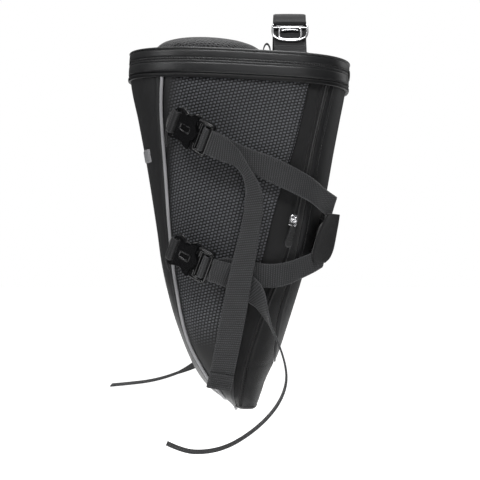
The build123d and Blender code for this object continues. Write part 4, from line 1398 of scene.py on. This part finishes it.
loopBox = [Vector(corner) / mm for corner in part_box("handle_loop")]
loopMid = (loopBox[0] + loopBox[1]) / 2
loopEdges = []
for k in range(17):
    a = 2 * math.pi * k / 16 - math.pi / 2
    x = loopMid.x + 3.6 * math.cos(a) * (1 - 0.16 * math.sin(a))
    z = loopMid.z + 6.9 * math.sin(a)
    loopEdges.append(((x, loopMid.y - 5, z), (x, loopMid.y + 5, z)))
settle(ribbon("handleLoop", loopEdges, 1.2, finish["handle"], 8, 4), "lid", "webbing", "handle_loop")
print("handle made")

# Padded pieces: the mesh dome on the lid and the harness pad

pads = {"domeX": -101.0, "domeHalfX": 59.0, "domeHalfY": 68.0, "domeHigh": 17.0, "voxel": 4.0, "pressure": 3.0,
        "cap": 1.6, "frames": 16}


# Blows a closed form up a little, as its foam would, and keeps every point within the cap
def puff(piece, pinned):
    remesh = piece.modifiers.new("remesh", "REMESH")
    remesh.mode = "VOXEL"
    remesh.voxel_size = pads["voxel"] * mm
    applyModifiers(piece)
    rest = [vertex.co.copy() for vertex in piece.data.vertices]
    cloth = piece.modifiers.new("cloth", "CLOTH")
    cloth.settings.use_pressure = True
    cloth.settings.uniform_pressure_force = pads["pressure"]
    cloth.settings.effector_weights.gravity = 0
    for step in range(1, pads["frames"] + 1):
        bpy.context.scene.frame_set(step)
    applyModifiers(piece)
    bpy.context.scene.frame_set(1)
    for vertex, before in zip(piece.data.vertices, rest):
        move = vertex.co - before
        if pinned(before / mm):
            move = Vector()
        elif move.length > pads["cap"] * mm:
            move = move.normalized() * pads["cap"] * mm
        vertex.co = before + move
    smooth = piece.modifiers.new("smooth", "SUBSURF")
    smooth.levels = smooth.render_levels = 1
    applyModifiers(piece)
    piece.data.polygons.foreach_set("use_smooth", [True] * len(piece.data.polygons))
    return piece


def domeSpot(share, angle):
    x = pads["domeX"] + pads["domeHalfX"] * share * math.cos(angle)
    y = pads["domeHalfY"] * share * math.sin(angle)
    rise = pads["domeHigh"] * max(1 - share**3, 0.0) ** 0.5
    return onRim(x, y, 26.4 + rise)


domePoints = []
domeShares = [1.0, 0.995, 0.985, 0.965, 0.935, 0.9, 0.85, 0.79, 0.72, 0.64, 0.54, 0.43, 0.31, 0.18, 0.02]
for share in domeShares:
    domePoints += [domeSpot(share, 2 * math.pi * k / 96) for k in range(96)]
domeBase = len(domePoints)
domePoints += [onRim(pads["domeX"] + pads["domeHalfX"] * math.cos(2 * math.pi * k / 96) * s,
                     pads["domeHalfY"] * math.sin(2 * math.pi * k / 96) * s, 26.1) for s in (0.99, 0.02)
                     for k in range(96)]
domeFaces = gridFaces(len(domeShares), 96, True) + [f[::-1] for f in gridFaces(2, 96, True, domeBase)]
domeFaces += [[domeBase + k, domeBase + (k + 1) % 96, (k + 1) % 96, k] for k in range(96)]
top = (len(domeShares) - 1) * 96
domeFaces.append([top + k for k in range(96)])
domeFaces.append([domeBase + 96 + k for k in range(96)][::-1])
dome = puff(makeMesh("meshPad", domePoints, domeFaces, finish["mesh"]), lambda p: p.z < onRim(p.x, 0, 28.0).z)
dome.data.materials.clear()
dome.data.materials.append(finish["mesh"])
settle(dome, "lid", "air_mesh", "mesh_pad")
domeEdge = [onRim(pads["domeX"] + (pads["domeHalfX"] + 0.4) * math.cos(a), (pads["domeHalfY"] + 0.4) * math.sin(a),
                  27.0)
            for a in around(160)]
settle(tube("meshPadPiping", domeEdge, 1.1, finish["binding"], 10, closed=True), "lid", "binding")

harness = {"standoff": 7.0, "thickness": 9.0, "halfY": 54.0, "halfUp": 28.0, "centre": 31.0, "round": 10.0}
seatScale = math.hypot(1, body["seatSlope"])
seatOut = Vector((1, 0, -body["seatSlope"])) / seatScale
seatUp = Vector((body["seatSlope"], 0, 1)) / seatScale


def onSeat(p):
    return seatOut * (harness["standoff"] + p[2]) + Vector((0, p[0], 0)) + seatUp * (harness["centre"] + p[1])


def padLoop(inset, steps=8):
    a, b = harness["halfY"] - inset, harness["halfUp"] - inset
    return roundedLoop([(-a, -b), (a, -b), (a, b), (-a, b)], max(harness["round"] - inset * 0.6, 2), steps)


# sides pull in between the corners, and the faces crown
def padSpot(corner, depth):
    x, y = corner
    pull = 1.6 * (1 - (y / harness["halfUp"]) ** 2) * abs(x) / harness["halfY"]
    x -= math.copysign(pull, x)
    pull = 1.2 * (1 - (x / harness["halfY"]) ** 2) * abs(y) / harness["halfUp"]
    y -= math.copysign(pull, y)
    return onSeat((x, y, depth))


padRings = []
for inset, depth in ((44, 0.3), (20, 0.2), (9, 0.3), (4, 0.8), (1.2, 2.0), (0.0, 3.7), (0.0, 5.0), (1.2, 6.8),
                     (4, 8.2),
                     (9, 8.7), (20, 8.9), (27, 9.0)):
    shrink = min(inset, 27)
    padRings.append([padSpot(c, depth) for c in padLoop(shrink)])
count = len(padRings[0])
padFaces = gridFaces(len(padRings), count, True)
padFaces.append(list(range(count))[::-1])
padFaces.append([(len(padRings) - 1) * count + k for k in range(count)])
cushion = makeMesh("harnessPad", [p for ring in padRings for p in ring], padFaces, finish["harness"])
cushion = puff(cushion, lambda p: False)
cushion.data.materials.clear()
cushion.data.materials.append(finish["harness"])
settle(cushion, "root", "pad_fabric", "harness_pad")
for side, word in ((-1, "near"), (1, "far")):
    wing = []
    for z, inner, outer in ((57, 21.6, 34.4), (48, 17, 33.2), (39, 13, 31.6), (30, 9.5, 30), (21, 7, 28),
                            (13, 6, 24.5),
                            (8, 6.5, 19.5)):
        wing.append(((inner, side * 68.5, z), (outer, side * 59.0, z - 1)))
    settle(ribbon("harnessWing_" + word, wing, 2.2, finish["harness"], 18, 6, 0.9), "root", "pad_fabric")
padEdge = [padSpot(c, 4.4) for c in padLoop(-0.4)]
settle(tube("harnessPiping", padEdge, 1.5, finish["binding"], 10, closed=True), "root", "binding")
padRows = [[padSpot(c, d) for c in padLoop(6) + padLoop(6)[:1]] for d in (0.1, 9.2)]
settle(stitchRow("harnessStitches", padRows, finish["thread"], 3.2, 0.66, 0.32), "root", "pad_fabric")
print("pads made")

# Fabric hinge behind the lid's zip, flush with the bands
hinge = {"half": 30.0, "low": 9.0, "high": 17.0, "grow": 2.9}
hingeRows = []
for i in range(13):
    height = hinge["low"] + (hinge["high"] - hinge["low"]) * i / 12
    row = []
    for j in range(25):
        y = -hinge["half"] + 2 * hinge["half"] * j / 24
        angle = math.asin(math.copysign((abs(y) / stationAt(195.0)[2]) ** (body["roundDepth"] / 2), y))
        row.append(rimSpot(angle, hinge["grow"] + 0.25 * math.sin(math.pi * i / 12), height))
    hingeRows.append(row)
hingePiece = makeMesh("lidHingeStrip", [p for row in hingeRows for p in row], gridFaces(13, 25), finish["binding"],
                      gridUvs(hingeRows), away=(-67, 0, 205))
applyModifiers(thicken(hingePiece, 0.5, 0.0))
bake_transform(hingePiece)
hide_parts("lid_hinge_strip")

# The blank reflective badge on the cover, raised, with its edge stepping down to the cover

badge = {"low": 110.0, "high": 123.0, "half": 42.0, "lift": 1.1}
badgeGrid = []
for i in range(9):
    z = badge["low"] + (badge["high"] - badge["low"]) * i / 8
    row = []
    for j in range(41):
        y = -badge["half"] + 2 * badge["half"] * j / 40
        halfDepth = stationAt(z)[2]
        sine = math.copysign((abs(y) / halfDepth) ** (body["roundDepth"] / 2), y)
        angle = math.pi - math.asin(sine)
        edge = min(i, 8 - i, j / 2, (40 - j) / 2)
        lift = badge["lift"] if edge >= 1 else badge["lift"] * 0.75 if edge > 0 else 0.1
        row.append(bodyPoint(z, angle, lift + 0.25))
    badgeGrid.append(row)
badgePiece = makeMesh("coverBadge", [p for row in badgeGrid for p in row], gridFaces(9, 41), finish["piping"],
                      gridUvs(badgeGrid), away=(-67, 0, 116))
settle(badgePiece, "root", "reflective", "cover_badge")

# Boards that stay as they are, inside the bag
for node, material in (("base_board", "board"), ("lid_board", "board")):
    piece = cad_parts[node]
    for place in piece.material_slots:
        place.material = finish[material]
    if not piece.material_slots:
        piece.data.materials.append(finish[material])
print("badge and boards done")
